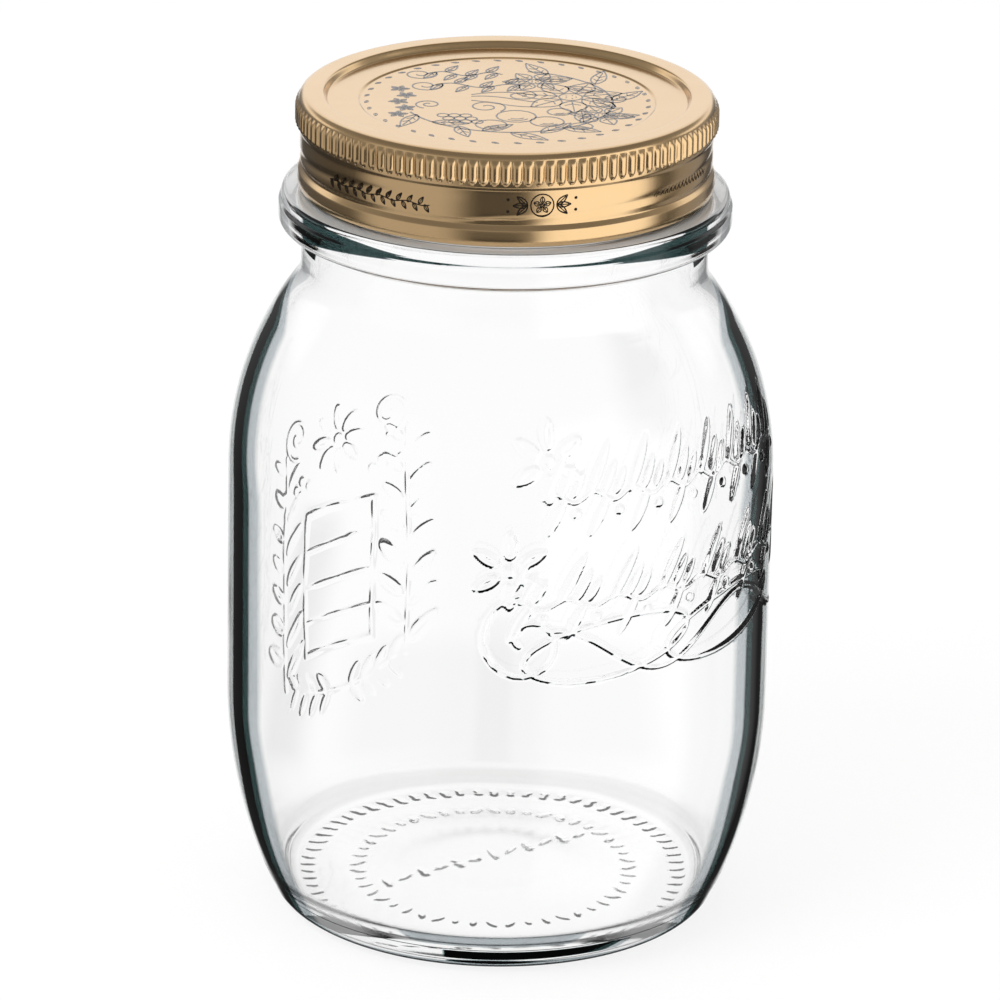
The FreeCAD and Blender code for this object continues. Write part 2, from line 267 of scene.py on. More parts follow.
class Number:
    """A number that nodes give at each point of a surface; arithmetic on it adds the nodes for it."""

    def __init__(self, tree, socket):
        self.tree, self.socket = tree, socket

    def step(self, operation, *others):
        """What an operation makes of this number and others."""
        inputs = dict(enumerate((self, *others)))
        return Number(self.tree, add(self.tree, "ShaderNodeMath", inputs, operation=operation).outputs[0])

    def __add__(self, other):
        return self.step("ADD", other)

    def __sub__(self, other):
        return self.step("SUBTRACT", other)

    def __rsub__(self, other):
        return self.step("MULTIPLY_ADD", -1.0, other)

    def __mul__(self, other):
        return self.step("MULTIPLY", other)

    def __truediv__(self, other):
        return self.step("DIVIDE", other)

    def __pow__(self, other):
        return self.step("POWER", other)

    def __abs__(self):
        return self.step("ABSOLUTE")

    def greater(self, other):
        return self.step("MAXIMUM", other)

    def smooth(self, low, high, start=0.0, end=1.0):
        """From start, at low, to end, at high, with soft ends."""
        inputs = {"Value": self, "From Min": low, "From Max": high, "To Min": start, "To Max": end}
        return Number(self.tree, add(self.tree, "ShaderNodeMapRange", inputs,
                                     interpolation_type="SMOOTHSTEP").outputs[0])

    def fades(self, low, high):
        return self.smooth(low, high, 1.0, 0.0)

    def within(self, low, high, soft):
        """1 from low to high and 0 outside them."""
        return self.smooth(low - soft, low + soft) * self.fades(high - soft, high + soft)


def number(tree, kind, inputs=None, output=0, **settings):
    """The output of one node as a number."""
    return Number(tree, add(tree, kind, inputs, **settings).outputs[output])


def axes_of(tree, vector):
    """The x, y and z of a vector as numbers."""
    return [Number(tree, socket) for socket in add(tree, "ShaderNodeSeparateXYZ", {0: vector}).outputs]


def set_stops(ramp, stops):
    """Gives a new colour ramp its stops, as (place, colour) in rising order."""
    elements = ramp.color_ramp.elements
    elements.remove(elements[1])
    elements[0].position, elements[0].color = stops[0]
    for place, colour in stops[1:]:
        elements.new(place).color = colour


def smooth_step(low, high, x):
    t = np.clip((x - low) / (high - low), 0.0, 1.0)
    return t * t * (3 - 2 * t)


# ---------------------------------------------------------------- profiles

class Profile:
    """A path through corners (r, z) or (r, z, fillet radius), read by the distance along it."""

    def __init__(self, corners):
        points = [np.array(c[:2], float) for c in corners]
        radii = [c[2] if len(c) > 2 else 0.0 for c in corners]
        self.parts = []
        start = points[0]
        for before, corner, after, radius in zip(points, points[1:], points[2:], radii[1:]):
            if radius == 0.0:
                self.run(start, corner)
                start = corner
                continue
            back = (before - corner) / np.linalg.norm(before - corner)
            ahead = (after - corner) / np.linalg.norm(after - corner)
            half = math.acos(float(np.clip(back @ ahead, -1, 1))) / 2
            first = corner + back * radius / math.tan(half)
            self.run(start, first)
            middle = corner + (back + ahead) / np.linalg.norm(back + ahead) * radius / math.sin(half)
            turn = math.copysign(math.pi - 2 * half, back[1] * ahead[0] - back[0] * ahead[1])
            self.parts.append(("arc", middle, first, turn, radius * abs(turn)))
            start = corner + ahead * radius / math.tan(half)
        self.run(start, points[-1])

    def run(self, start, end):
        length = float(np.linalg.norm(end - start))
        if length > 1e-6:
            self.parts.append(("line", start, end, 0.0, length))

    def stations(self, step, max_turn):
        """Distances along the path that are close enough on its runs and on its arcs."""
        out = [0.0]
        for _, _, _, turn, length in self.parts:
            count = max(1, math.ceil(length / step), math.ceil(abs(math.degrees(turn)) / max_turn))
            out += [out[-1] + length * (i + 1) / count for i in range(count)]
        return np.array(out)

    def at(self, distances):
        """Radius and height at each distance."""
        out = np.zeros((len(distances), 2))
        begin = 0.0
        for n, (kind, a, b, turn, length) in enumerate(self.parts):
            last = n == len(self.parts) - 1
            inside = (distances >= begin - 1e-9) & ((distances <= begin + length) | last)
            t = np.clip((distances[inside] - begin) / length, 0, 1)[:, None]
            if kind == "line":
                out[inside] = a + (b - a) * t
            else:
                spoke = b - a
                angle = turn * t[:, 0]
                out[inside] = a + np.stack([
                    spoke[0] * np.cos(angle) - spoke[1] * np.sin(angle),
                    spoke[0] * np.sin(angle) + spoke[1] * np.cos(angle)], axis=1)
            begin += length
        return out


def tan(degrees):
    return math.tan(math.radians(degrees))


def glass_profile():
    """From the middle of the underside, up the outside, over the lip and down to the middle of the floor."""
    heel_z = HEEL_TOP_Z - HEEL_ARC_R * tan(HEEL_TURN / 2)
    shoulder_z = SHOULDER_Z + SHOULDER_ARC_R * tan(SHOULDER_TURN / 2)
    neck_z = shoulder_z + (BODY_R - NECK_R) / tan(SHOULDER_TURN)
    inner_r = BODY_R - WALL
    inner_heel_z = HEEL_TOP_Z - (HEEL_ARC_R - WALL) * tan(INNER_HEEL_TURN / 2)
    inner_z = shoulder_z - WALL * tan(SHOULDER_TURN / 2)
    return Profile([
        (0, PUSH_UP),
        (FLAT_R, PUSH_UP, 60.0),
        (BEARING_R[0], STAND_Z, 6.0),
        (BODY_R - (heel_z - STAND_Z) * tan(HEEL_TURN), STAND_Z, HEEL_CORNER_R),
        (BODY_R, heel_z, HEEL_ARC_R),
        (BODY_R, shoulder_z, SHOULDER_ARC_R),
        (NECK_R, neck_z, 6.0),
        (NECK_R, COLLAR_Z[0], 1.8),
        (COLLAR_BEAD_R, COLLAR_Z[0] + 0.6, 1.4),
        (COLLAR_BEAD_R, COLLAR_STEP_Z, 0.4),
        (COLLAR_WALL_R, COLLAR_STEP_Z + 0.5, 0.3),
        (COLLAR_WALL_R, COLLAR_Z[1], 0.9),
        (FINISH_R, COLLAR_Z[1], 0.5),
        (FINISH_R, LIP_Z, 0.7),
        (MOUTH_R, LIP_Z, 0.6),
        (MOUTH_R, inner_z + (inner_r - MOUTH_R) / tan(SHOULDER_TURN), 8.0),
        (inner_r, inner_z, SHOULDER_ARC_R - WALL),
        (inner_r, inner_heel_z, HEEL_ARC_R - WALL),
        (inner_r - (inner_heel_z - FLOOR_Z) * tan(INNER_HEEL_TURN), FLOOR_Z, INNER_CORNER_R),
        (FLAT_R, FLOOR_Z + FLOOR_CROWN, 60.0),
        (0, FLOOR_Z + FLOOR_CROWN),
    ])


def lid_profile():
    """From the middle of the lid's underside, round the curl and up the outside to the middle of its top."""
    return Profile([
        (0, DISC_Z - SHEET),
        (DISC_R - 0.4, DISC_Z - SHEET, 0.3),
        (DISC_R, PANEL_Z - SHEET, 0.3),
        (PANEL_R + SHEET, PANEL_Z - SHEET, 0.6),
        (RIM_IN_R + SHEET, LID_Z[1] - SHEET, 0.25),
        (SKIRT_R - SHEET, LID_Z[1] - SHEET, RIM_ROUND_R - SHEET),
        (SKIRT_R - SHEET, CURL_TOP_Z - 0.3, 0.3),
        (CURL_IN_R, CURL_TOP_Z - 0.9, 0.2),
        (CURL_IN_R, LID_Z[0], 0.3),
        (CURL_R - 0.3, LID_Z[0], 0.5),
        (CURL_R, LID_Z[0] + 1.1, 2.0),
        (CURL_R - 0.12, CURL_TOP_Z - 0.4, 0.6),
        (GROOVE_R, GROOVE_Z, 0.3),
        (SKIRT_R, GROOVE_Z + 1.0, 0.6),
        (SKIRT_R, KNURL_Z[0] - 0.9, 0.6),
        (KNURL_ROOT_R, KNURL_Z[0] - 0.3, 0.6),
        (KNURL_ROOT_R, LID_Z[1], RIM_ROUND_R),
        (RIM_IN_R, LID_Z[1], 0.5),
        (PANEL_R, PANEL_Z, 0.4),
        (DISC_R, PANEL_Z, 0.4),
        (DISC_R - 0.4, DISC_Z, 0.4),
        (0, DISC_Z),
    ])


# ---------------------------------------------------------------- ornament

def curve(function, count):
    """Points of a curve, a function of 0 to 1."""
    return [function(i / count) for i in range(count + 1)]


def polar(x, y, radius, angle):
    """The point at a radius and an angle from (x, y)."""
    return (x + radius * math.cos(angle), y + radius * math.sin(angle))


def spiral(x, z, size, turns, start, hand=1):
    """A curl that winds in to its middle (x, z)."""
    def point(t):
        return polar(x, z, size * (1 - 0.82 * t), math.radians(start) + hand * 2 * math.pi * turns * t)
    return curve(point, int(22 * turns))


def vine_strokes():
    """Strokes (points, width), leaves (x, z, length, width, lean) and dots (x, z, radius) of the vine,
    in unrolled millimetres round its azimuth."""
    strokes, leaves, dots = [], [], []
    per_degree = math.radians(BODY_R)
    for row_z, span in zip(VINE_ROWS_Z, VINE_SPAN):
        half = span * per_degree / 2

        def stem(t, half=half, row_z=row_z):
            return (half * (2 * t - 1), row_z + 0.8 * math.sin(VINE_LEAVES * math.pi * t))
        strokes.append((curve(stem, 8 * VINE_LEAVES), STROKE * 0.6))
        for i in range(VINE_LEAVES):
            x = 2 * half * (i / (VINE_LEAVES - 1) - 0.5)
            if i % 2 == 0:
                leaves += [(x + along, row_z, length, width, VINE_LEAN) for along, length, width in VINE_UP]
            else:
                leaves.append((x, row_z, *VINE_DOWN, VINE_LEAN + 180.0))
                dots.append((x + VINE_SEED[0], row_z + VINE_SEED[1], VINE_SEED[2]))
        blossom(leaves, dots, 1.0 - half, row_z + 6.0, petal=5.2, count=6)
    half = VINE_SPAN[0] * per_degree / 2
    strokes.append((spiral(4.0 - half, VINE_ROWS_Z[0] - 6.5, size=8.5, turns=1.3, start=100), STROKE))
    for middle_az in LOOPS_AZ:
        x0 = (middle_az - VINE_AZ) * per_degree

        def loop(t, x0=x0):
            across = LOOP_SIZE[0] / 2 * math.cos(2 * math.pi * t)
            return (x0 + across, LOOPS_Z + LOOP_SIZE[1] / 2 * math.sin(2 * math.pi * t) + LOOP_RISE * across)
        strokes.append((curve(loop, 48), STROKE))

    def tail(t):
        return (-26 + 58 * t, LOOPS_Z - 0.5 + 4.4 * math.cos(3 * math.pi * t))
    strokes.append((curve(tail, 60), STROKE * 0.9))
    return strokes, leaves, dots


def blossom(leaves, dots, x0, z0, petal, count):
    """Petals round a dot, added to the leaves and dots of a drawing."""
    for i in range(count):
        turn = 360.0 * i / count
        x, z = petal * 0.35 * math.sin(math.radians(turn)), petal * 0.35 * math.cos(math.radians(turn))
        leaves.append((x0 + x, z0 + z, petal, petal * 0.5, turn))
    dots.append((x0, z0, petal * 0.25))


def label_strokes():
    """The label panel with its rules, a sprig at each hand, a blossom over it and leafy twigs under it."""
    strokes, leaves, dots = [], [], []
    wide, tall = LABEL_SIZE
    w, h = (wide - LABEL_LINE) / 2, (tall - LABEL_LINE) / 2
    corners = [(-w, -h), (w, -h), (w, h), (-w, h), (-w, -h)]
    strokes.append(([(x, LABEL_MID_Z + z) for x, z in corners], LABEL_LINE))
    for i in range(LABEL_RULES):
        z = LABEL_MID_Z + tall * ((i + 1) / (LABEL_RULES + 1) - 0.5)
        strokes.append(([(-w, z), (w, z)], LABEL_LINE * 0.7))
    low_z = LABEL_MID_Z - tall * 0.55
    twig_z = low_z - 6.0
    blossom_z = LABEL_MID_Z + tall * 0.5 + 12.0
    blossom(leaves, dots, 0.0, blossom_z, petal=5.0, count=8)
    step = tall * 1.5 / SPRIG_LEAVES
    for side in (-1, 1):
        x = side * wide * 0.85
        stem = [(x, low_z - 2.0), (x + side * 0.6, low_z + 14), (x, low_z + step * SPRIG_LEAVES)]
        strokes.append((stem, STROKE))
        for i in range(SPRIG_LEAVES):
            length, width = (size * (1.0 - 0.35 * i / SPRIG_LEAVES) for size in SPRIG_LEAF)
            for hand in (-1, 1):
                z = low_z + step * (i + 0.5 * (hand > 0))
                leaves.append((x + hand * 0.5, z, length, width, SPRIG_LEAN * hand))
        curl = spiral(side * 11.5, blossom_z + 3.0, size=4.2, turns=1.3, start=-90, hand=side)
        strokes.append((curl, STROKE))
        dots += [(side * (8.0 + 2.1 * i), blossom_z - 7.0 + 1.3 * (i % 2), 1.0) for i in range(5)]
        strokes.append((curve(lambda t, side=side: (side * 13.0 * t, twig_z + 4.0 * t * t), 14), STROKE))
        for i in range(4):
            x = side * (2.6 + 3.0 * i)
            z = twig_z + 4.0 * (x / 13.0) ** 2
            leaves += [(x, z, 5.0, 1.9, side * 35.0), (x, z, 4.6, 1.8, side * 140.0)]
    return strokes, leaves, dots


class ReliefMap:
    """How far the ornament stands out, from 0 to 1, at every corner of the finest glass grid."""

    def __init__(self, radius, height, first, last):
        self.r, self.z = radius, height
        self.first, self.last = first, last
        self.count = COLUMNS * FINE
        self.arc = 2 * math.pi * BODY_R / self.count
        self.value = np.zeros((len(radius), self.count))

    def window(self, azimuth, x0, x1, z0, z1):
        """Rows, columns and the unrolled coordinates of the corners in a box round an azimuth."""
        rows = np.arange(self.first, self.last)
        rows = rows[(self.z[rows] >= z0) & (self.z[rows] <= z1)]
        centre = math.radians(azimuth) * BODY_R
        low, high = math.floor((centre + x0) / self.arc), math.ceil((centre + x1) / self.arc)
        columns = np.arange(low, high + 1)
        return rows, columns % self.count, (columns * self.arc - centre)[None, :], self.z[rows][:, None]

    def raise_to(self, rows, columns, shape):
        if len(rows) and len(columns):
            block = np.ix_(rows, columns)
            self.value[block] = np.maximum(self.value[block], shape)

    def stroke(self, azimuth, points, width):
        for (x0, z0), (x1, z1) in zip(points, points[1:]):
            reach = width * 0.75
            rows, columns, x, z = self.window(
                azimuth, min(x0, x1) - reach, max(x0, x1) + reach, min(z0, z1) - reach, max(z0, z1) + reach)
            dx, dz = x1 - x0, z1 - z0
            along = np.clip(((x - x0) * dx + (z - z0) * dz) / max(dx * dx + dz * dz, 1e-9), 0, 1)
            far = np.hypot(x - x0 - along * dx, z - z0 - along * dz)
            self.raise_to(rows, columns, 0.5 + 0.5 * np.cos(math.pi * np.clip(far / (width * 0.72), 0, 1)))

    def leaf(self, azimuth, x0, z0, length, width, lean):
        """A slim leaf, domed to both sides of a sunk midrib."""
        rows, columns, x, z = self.window(azimuth, x0 - length, x0 + length, z0 - length, z0 + length)
        s, c = math.sin(math.radians(lean)), math.cos(math.radians(lean))
        along = ((x - x0) * s + (z - z0) * c) / length
        side = np.abs((x - x0) * c - (z - z0) * s)
        half = width / 2 * np.sqrt(np.clip(np.sin(math.pi * np.clip(along, 0, 1) ** 0.85), 0, 1))
        dome = np.sqrt(np.clip(1 - (side / np.maximum(half, 0.1)) ** 2, 0, 1))
        midrib = 1 - 0.6 * np.exp(-(side / 0.3) ** 2) * np.clip((half - 1.0) / 0.4, 0, 1)
        self.raise_to(rows, columns, dome * midrib * np.clip(half / 0.7, 0, 1))

    def dot(self, azimuth, x0, z0, radius):
        rows, columns, x, z = self.window(azimuth, x0 - 3, x0 + 3, z0 - 3, z0 + 3)
        far = np.hypot(x - x0, z - z0) / radius
        self.raise_to(rows, columns, np.sqrt(np.clip(1 - far ** 2, 0, 1)))

    def ornament(self, azimuth, drawing):
        strokes, leaves, dots = drawing
        for points, width in strokes:
            self.stroke(azimuth, points, width)
        for leaf in leaves:
            self.leaf(azimuth, *leaf)
        for dot in dots:
            self.dot(azimuth, *dot)

    def wear(self, azimuth, reach, share):
        """Weakens the ornament round an azimuth in soft patches, as an old mould gives it."""
        rows, columns, x, z = self.window(azimuth, -reach, reach, 0.0, COLLAR_Z[0])
        patches = 0.5 + 0.5 * np.sin(0.55 * x + 0.2 * z + 1.0) * np.sin(0.5 * z - 0.25 * x)
        self.value[np.ix_(rows, columns)] *= 1 - share * patches

    def part(self, azimuth, width, share):
        """Flattens the ornament at the mould's parting line, where the mould has to open."""
        rows, columns, x, _ = self.window(azimuth, -2 * width, 2 * width, 0.0, COLLAR_Z[0])
        self.value[np.ix_(rows, columns)] *= 1 - share * np.exp(-(x / width) ** 2)

    def base_marks(self):
        """Plain raised marks on the underside: a ring and a row of slim strokes that lean by turns."""
        rows = np.arange(0, self.first)
        theta = np.arange(self.count) * 2 * math.pi / self.count
        x = self.r[rows][:, None] * np.cos(theta)[None, :]
        y = self.r[rows][:, None] * np.sin(theta)[None, :]
        under = (self.z[rows] < PUSH_UP + 0.1)[:, None]
        marks = []
        for i in range(MARKS_COUNT):
            at = 2 * math.pi * i / MARKS_COUNT
            size, lean = RING_MARKS[i % len(RING_MARKS)]
            marks.append((MARKS_R * math.cos(at), MARKS_R * math.sin(at), at + lean, size))
        for i in range(ROW_COUNT):
            cx, cy = (a + (b - a) * i / (ROW_COUNT - 1) for a, b in zip(ROW_FROM, ROW_TO))
            size, lean = ROW_MARKS[i % len(ROW_MARKS)]
            marks.append((cx, cy, lean, size))
        for cx, cy, angle, size in marks:
            along = (x - cx) * math.cos(angle) + (y - cy) * math.sin(angle)
            side = (y - cy) * math.cos(angle) - (x - cx) * math.sin(angle)
            shape = 1 - smooth_step(0.45, 1.05, np.hypot(along / size, side / 0.6))
            self.value[rows] = np.maximum(self.value[rows], MARKS_HEIGHT * shape * under)


def any_near(mask, size, margin):
    """For every cell of a size, whether the mask holds anything within a margin of it."""
    rows, columns = mask.shape
    wide = np.concatenate([mask[:, -margin - size:], mask, mask[:, :margin + size]], axis=1)
    total = np.zeros((rows + 1, wide.shape[1] + 1))
    total[1:, 1:] = np.cumsum(np.cumsum(wide, axis=0), axis=1)
    top = np.arange(0, rows - 1, size)
    left = np.arange(0, columns, size) + margin + size
    j0, j1 = np.maximum(top - margin, 0), np.minimum(top + size + margin + 1, rows)
    i0, i1 = left - margin, left + size + margin + 1
    counts = total[np.ix_(j1, i1)] - total[np.ix_(j0, i1)] - total[np.ix_(j1, i0)] + total[np.ix_(j0, i0)]
    return counts > 0


def refined_faces(detail, limits):
    """Corner lists, in finest-grid indices, of a grid that is finer where detail is wanted."""
    rows, columns = detail.shape
    split = []
    for level, margin in enumerate(MARGINS):
        size = FINE >> level
        near = any_near(detail * limits[level][:, None], size, margin)
        if split:
            near &= np.kron(split[-1], np.ones((2, 2), bool)).astype(bool)
        split.append(near)
    used = np.zeros((rows, columns), bool)
    leaves = []
    for level in range(len(MARGINS) + 1):
        size = FINE >> level
        present = np.ones(((rows - 1) // FINE, columns // FINE), bool)
        if level:
            present = np.kron(split[level - 1], np.ones((2, 2), bool)).astype(bool)
        if level < len(MARGINS):
            present = present & ~split[level]
        j, i = np.nonzero(present)
        j, i = j * size, i * size
        leaves.append((j, i, size))
        for dj in (0, size):
            for di in (0, size):
                used[j + dj, (i + di) % columns] = True
    faces = []
    for js, is_, size in leaves:
        half = size // 2
        for j, i in zip(js.tolist(), is_.tolist()):
            ring = [(j, i), (j, i + size), (j + size, i + size), (j + size, i)]
            if half:
                middles = [(j, i + half), (j + half, i + size), (j + size, i + half), (j + half, i)]
                ring = [p for pair in zip(ring, middles) for p in pair]
            faces.append([(a, b % columns) for n, (a, b) in enumerate(ring)
                          if not half or n % 2 == 0 or used[a, b % columns]])
    return faces


def mesh_object(name, vertices, faces, smooth=True):
    """A mesh object at the origin from points in millimetres."""
    mesh = bpy.data.meshes.new(name)
    mesh.from_pydata([tuple(v * MM for v in p) for p in vertices], [], faces)
    mesh.validate()
    mesh.polygons.foreach_set("use_smooth", [smooth] * len(mesh.polygons))
    mesh.update()
    thing = bpy.data.objects.new(name, mesh)
    bpy.context.scene.collection.objects.link(thing)
    return thing


def glass_blank():
    """The turned glass as one closed mesh, with the ornament's height kept in attributes."""
    profile = glass_profile()
    stations = profile.stations(ROW_STEP, ROW_TURN)
    between = np.arange(FINE) / FINE
    fine = np.concatenate([a + (b - a) * between for a, b in zip(stations, stations[1:])] + [stations[-1:]])
    outline = profile.at(fine)
    radius, height = outline[:, 0], outline[:, 1]
    first, last = int(np.argmax(radius > FIRST_R)), int(np.argmax(height >= LAST_Z))
    relief = ReliefMap(radius, height, first, last)
    relief.ornament(VINE_AZ, vine_strokes())
    relief.ornament(LABEL_AZ, label_strokes())
    relief.wear(LABEL_AZ, *LABEL_WEAR)
    relief.part(*PARTING)
    relief.base_marks()
    detail = relief.value > SHOWS
    stippled = (radius > BEARING_R[0] - BEARING_MARGIN) & (radius < BEARING_R[1] + BEARING_MARGIN)
    detail[:first][stippled[:first]] = True
    everywhere = np.ones(len(fine))
    barrel = (np.arange(len(fine)) >= first).astype(float)
    faces = refined_faces(detail.astype(float), (everywhere, everywhere, barrel))
    poles = (0, len(fine) - 1)
    lip = int(np.argmax(height))
    index_of, vertices, heights, inside, lists = {}, [], [], [], []
    for face in faces:
        ring = []
        for j, i in face:
            key = (j, 0 if j in poles else i)
            if key not in index_of:
                index_of[key] = len(vertices)
                theta = 2 * math.pi * i / relief.count
                vertices.append((radius[j] * math.cos(theta), radius[j] * math.sin(theta), height[j]))
                heights.append(relief.value[j, i])
                inside.append(1.0 if j > lip and height[j] < LIP_Z - SMOOTH_MOUTH else 0.0)
            if index_of[key] not in ring:
                ring.append(index_of[key])
        if len(ring) > 2:
            lists.append(ring)
    thing = mesh_object("jar_glass", vertices, lists)
    for name, values in (("relief", heights), ("inside", inside)):
        layer = thing.data.attributes.new(name, "FLOAT", "POINT")
        layer.data.foreach_set("value", values)
    return thing


# ---------------------------------------------------------------- geometry nodes

def new_tree(name, inputs):
    """An empty geometry tree with named inputs: (name, socket kind, default)."""
    tree = bpy.data.node_groups.new(name, "GeometryNodeTree")
    tree.interface.new_socket("Geometry", in_out="INPUT", socket_type="NodeSocketGeometry")
    for label, kind, default in inputs:
        socket = tree.interface.new_socket(label, in_out="INPUT", socket_type=kind)
        if default is not None:
            socket.default_value = default
    tree.interface.new_socket("Geometry", in_out="OUTPUT", socket_type="NodeSocketGeometry")
    return tree, add(tree, "NodeGroupInput")


def close_tree(tree, geometry, material):
    """Every tree ends in real geometry with its material."""
    real = add(tree, "GeometryNodeRealizeInstances", {"Geometry": geometry})
    painted = add(tree, "GeometryNodeSetMaterial", {"Geometry": real.outputs[0], "Material": material})
    add(tree, "NodeGroupOutput", {"Geometry": painted.outputs[0]})


def apply_tree(thing, tree, values):
    """Runs a tree on an object and leaves the plain mesh that it makes."""
    modifier = thing.modifiers.new(tree.name, "NODES")
    modifier.node_group = tree
    for item in tree.interface.items_tree:
        if item.in_out == "INPUT" and item.name in values:
            modifier[item.identifier] = values[item.name]
    evaluated = thing.evaluated_get(bpy.context.evaluated_depsgraph_get())
    mesh = bpy.data.meshes.new_from_object(evaluated)
    thing.modifiers.clear()
    thing.data = mesh
    mesh.polygons.foreach_set("use_smooth", [True] * len(mesh.polygons))
    return thing


def glass_tree(material):
    """Raises the ornament, sets the stipple bars under the base and lets the inside wave a little."""
    tree, given = new_tree("pressed_glass", [
        ("Relief height", "NodeSocketFloat", 0.49 * MM),
        ("Stipple bars", "NodeSocketInt", 68),
        ("Stipple height", "NodeSocketFloat", 0.3 * MM),
        ("Stipple inner radius", "NodeSocketFloat", 31.0 * MM),
        ("Stipple outer radius", "NodeSocketFloat", 34.2 * MM),
        ("Waviness", "NodeSocketFloat", 0.2 * MM),
        ("Wave scale", "NodeSocketFloat", 35.0),
        ("Stipple jitter", "NodeSocketFloat", 3.0),
        ("Jitter scale", "NodeSocketFloat", 420.0),
    ])

    def moved(geometry, direction, amount):
        offset = add(tree, "ShaderNodeVectorMath", {0: direction, "Scale": amount}, operation="SCALE")
        inputs = {"Geometry": geometry, "Offset": offset.outputs[0]}
        return add(tree, "GeometryNodeSetPosition", inputs).outputs[0]

    def uneven(scale):
        inputs = {"Vector": place, "Scale": given.outputs[scale], "Detail": 1.0}
        return number(tree, "ShaderNodeTexNoise", inputs) - 0.5

    normal = add(tree, "GeometryNodeInputNormal").outputs[0]
    place = add(tree, "GeometryNodeInputPosition").outputs[0]
    relief, inside = (number(tree, "GeometryNodeInputNamedAttribute", {"Name": name}, data_type="FLOAT")
                      for name in ("relief", "inside"))
    wave = uneven("Wave scale") * given.outputs["Waviness"] * inside
    raised = moved(given.outputs["Geometry"], normal, relief * given.outputs["Relief height"] + wave)

    x, y, z = axes_of(tree, place)
    jitter = uneven("Jitter scale") * given.outputs["Stipple jitter"]
    turn = y.step("ARCTAN2", x) * given.outputs["Stipple bars"] + jitter
    radius = (x ** 2.0 + y ** 2.0) ** 0.5 + jitter * (STIPPLE_SHIFT * MM)
    low, high = (Number(tree, given.outputs[f"Stipple {side} radius"]) for side in ("inner", "outer"))
    ring = radius.smooth(low, low + STIPPLE_SOFT * MM) * radius.fades(high - STIPPLE_SOFT * MM, high)
    crest = turn.step("COSINE").smooth(*STIPPLE_CREST) * ring * z.step("LESS_THAN", STIPPLE_TOP_Z * MM)
    depth = crest * given.outputs["Stipple height"]
    down = add(tree, "ShaderNodeCombineXYZ", {2: -1.0}).outputs[0]
    close_tree(tree, moved(raised, down, depth), material)
    return tree


def knurl_tree(material):
    """One rib copied round the lid, welded to its neighbours."""
    tree, given = new_tree("knurled_band", [
        ("Ribs", "NodeSocketInt", 120),
        ("Weld distance", "NodeSocketFloat", 0.01 * MM),
    ])
    points = add(tree, "GeometryNodeMeshLine", {"Count": given.outputs["Ribs"], "Offset": (0.0, 0.0, 0.0)})
    angle = number(tree, "GeometryNodeInputIndex") * (2 * math.pi) / given.outputs["Ribs"]
    turned = add(tree, "ShaderNodeCombineXYZ", {2: angle}).outputs[0]
    placed = add(tree, "GeometryNodeInstanceOnPoints", {
        "Points": points.outputs[0], "Instance": given.outputs["Geometry"], "Rotation": turned})
    real = add(tree, "GeometryNodeRealizeInstances", {"Geometry": placed.outputs[0]})
    welded = add(tree, "GeometryNodeMergeByDistance", {
        "Geometry": real.outputs[0], "Distance": given.outputs["Weld distance"]})
    close_tree(tree, welded.outputs[0], material)
    return tree


# ---------------------------------------------------------------- lid

def lid_shell():
    """The lid's sheet, turned round Z as one closed mesh with the thread rolled into its skirt."""
    profile = lid_profile()
    vertices, faces, rows = [], [], []
    for r, z in profile.at(profile.stations(LID_STEP, LID_TURN)):
        if r < 1e-6:
            rows.append([len(vertices)] * LID_COLUMNS)
            vertices.append((0.0, 0.0, z))
            continue
        rows.append(list(range(len(vertices), len(vertices) + LID_COLUMNS)))
        for i in range(LID_COLUMNS):
            theta = 2 * math.pi * i / LID_COLUMNS
            radius = r - thread_depth(theta, r, z)
            vertices.append((radius * math.cos(theta), radius * math.sin(theta), z))
    for low, high in zip(rows, rows[1:]):
        for i in range(LID_COLUMNS):
            n = (i + 1) % LID_COLUMNS
            ring = []
            for v in (low[i], low[n], high[n], high[i]):
                if v not in ring:
                    ring.append(v)
            faces.append(ring)
    return mesh_object("lid_shell", vertices, faces)


def thread_depth(theta, r, z):
    """Depth of the rolled thread: three shallow grooves, each climbing as it goes round."""
    if r < SKIRT_R - 0.15 or z < CURL_TOP_Z or z > KNURL_Z[0]:
        return 0.0
    depth = 0.0
    for start in THREAD_STARTS:
        along = (theta - start) % (2 * math.pi)
        fade = min(1.0, along / THREAD_ENDS[0], (THREAD_LENGTH - along) / THREAD_ENDS[1])
        away = (z - GROOVE_Z - THREAD_CLIMB * along) / THREAD_WIDTH
        depth = max(depth, THREAD_DEPTH * max(0.0, fade) * math.exp(-away ** 2))
    return depth


def knurl_rib(ribs, tip_r):
    """One rounded rib at azimuth 0, fading into the band at its two ends."""
    across, up = RIB_GRID
    low, high = KNURL_Z
    vertices, faces = [], []
    for j in range(up + 1):
        z = low - 0.15 + (high - low + 0.45) * j / up
        over = max(0.0, z - (LID_Z[1] - RIM_ROUND_R))
        band = KNURL_ROOT_R - RIM_ROUND_R + math.sqrt(max(RIM_ROUND_R ** 2 - over ** 2, 0.0))
        band -= 0.3 * max(0.0, low - z) + RIB_SUNK
        upper = 1 - float(smooth_step(high - 1.2, high + 0.1, z))
        for i in range(across + 1):
            side = 2 * i / across - 1
            theta = math.pi * side / ribs
            foot = low + 0.9 * side ** 2
            crest = (1 - abs(side) ** RIB_SHAPE) * upper * float(smooth_step(foot - 0.1, foot + 0.7, z))
            r = band + (tip_r - KNURL_ROOT_R + RIB_SUNK) * crest
            vertices.append((r * math.cos(theta), r * math.sin(theta), z))
    for j in range(up):
        for i in range(across):
            a = j * (across + 1) + i
            faces.append([a, a + 1, a + across + 2, a + across + 1])
    return mesh_object("lid_knurl", vertices, faces)


# ---------------------------------------------------------------- print

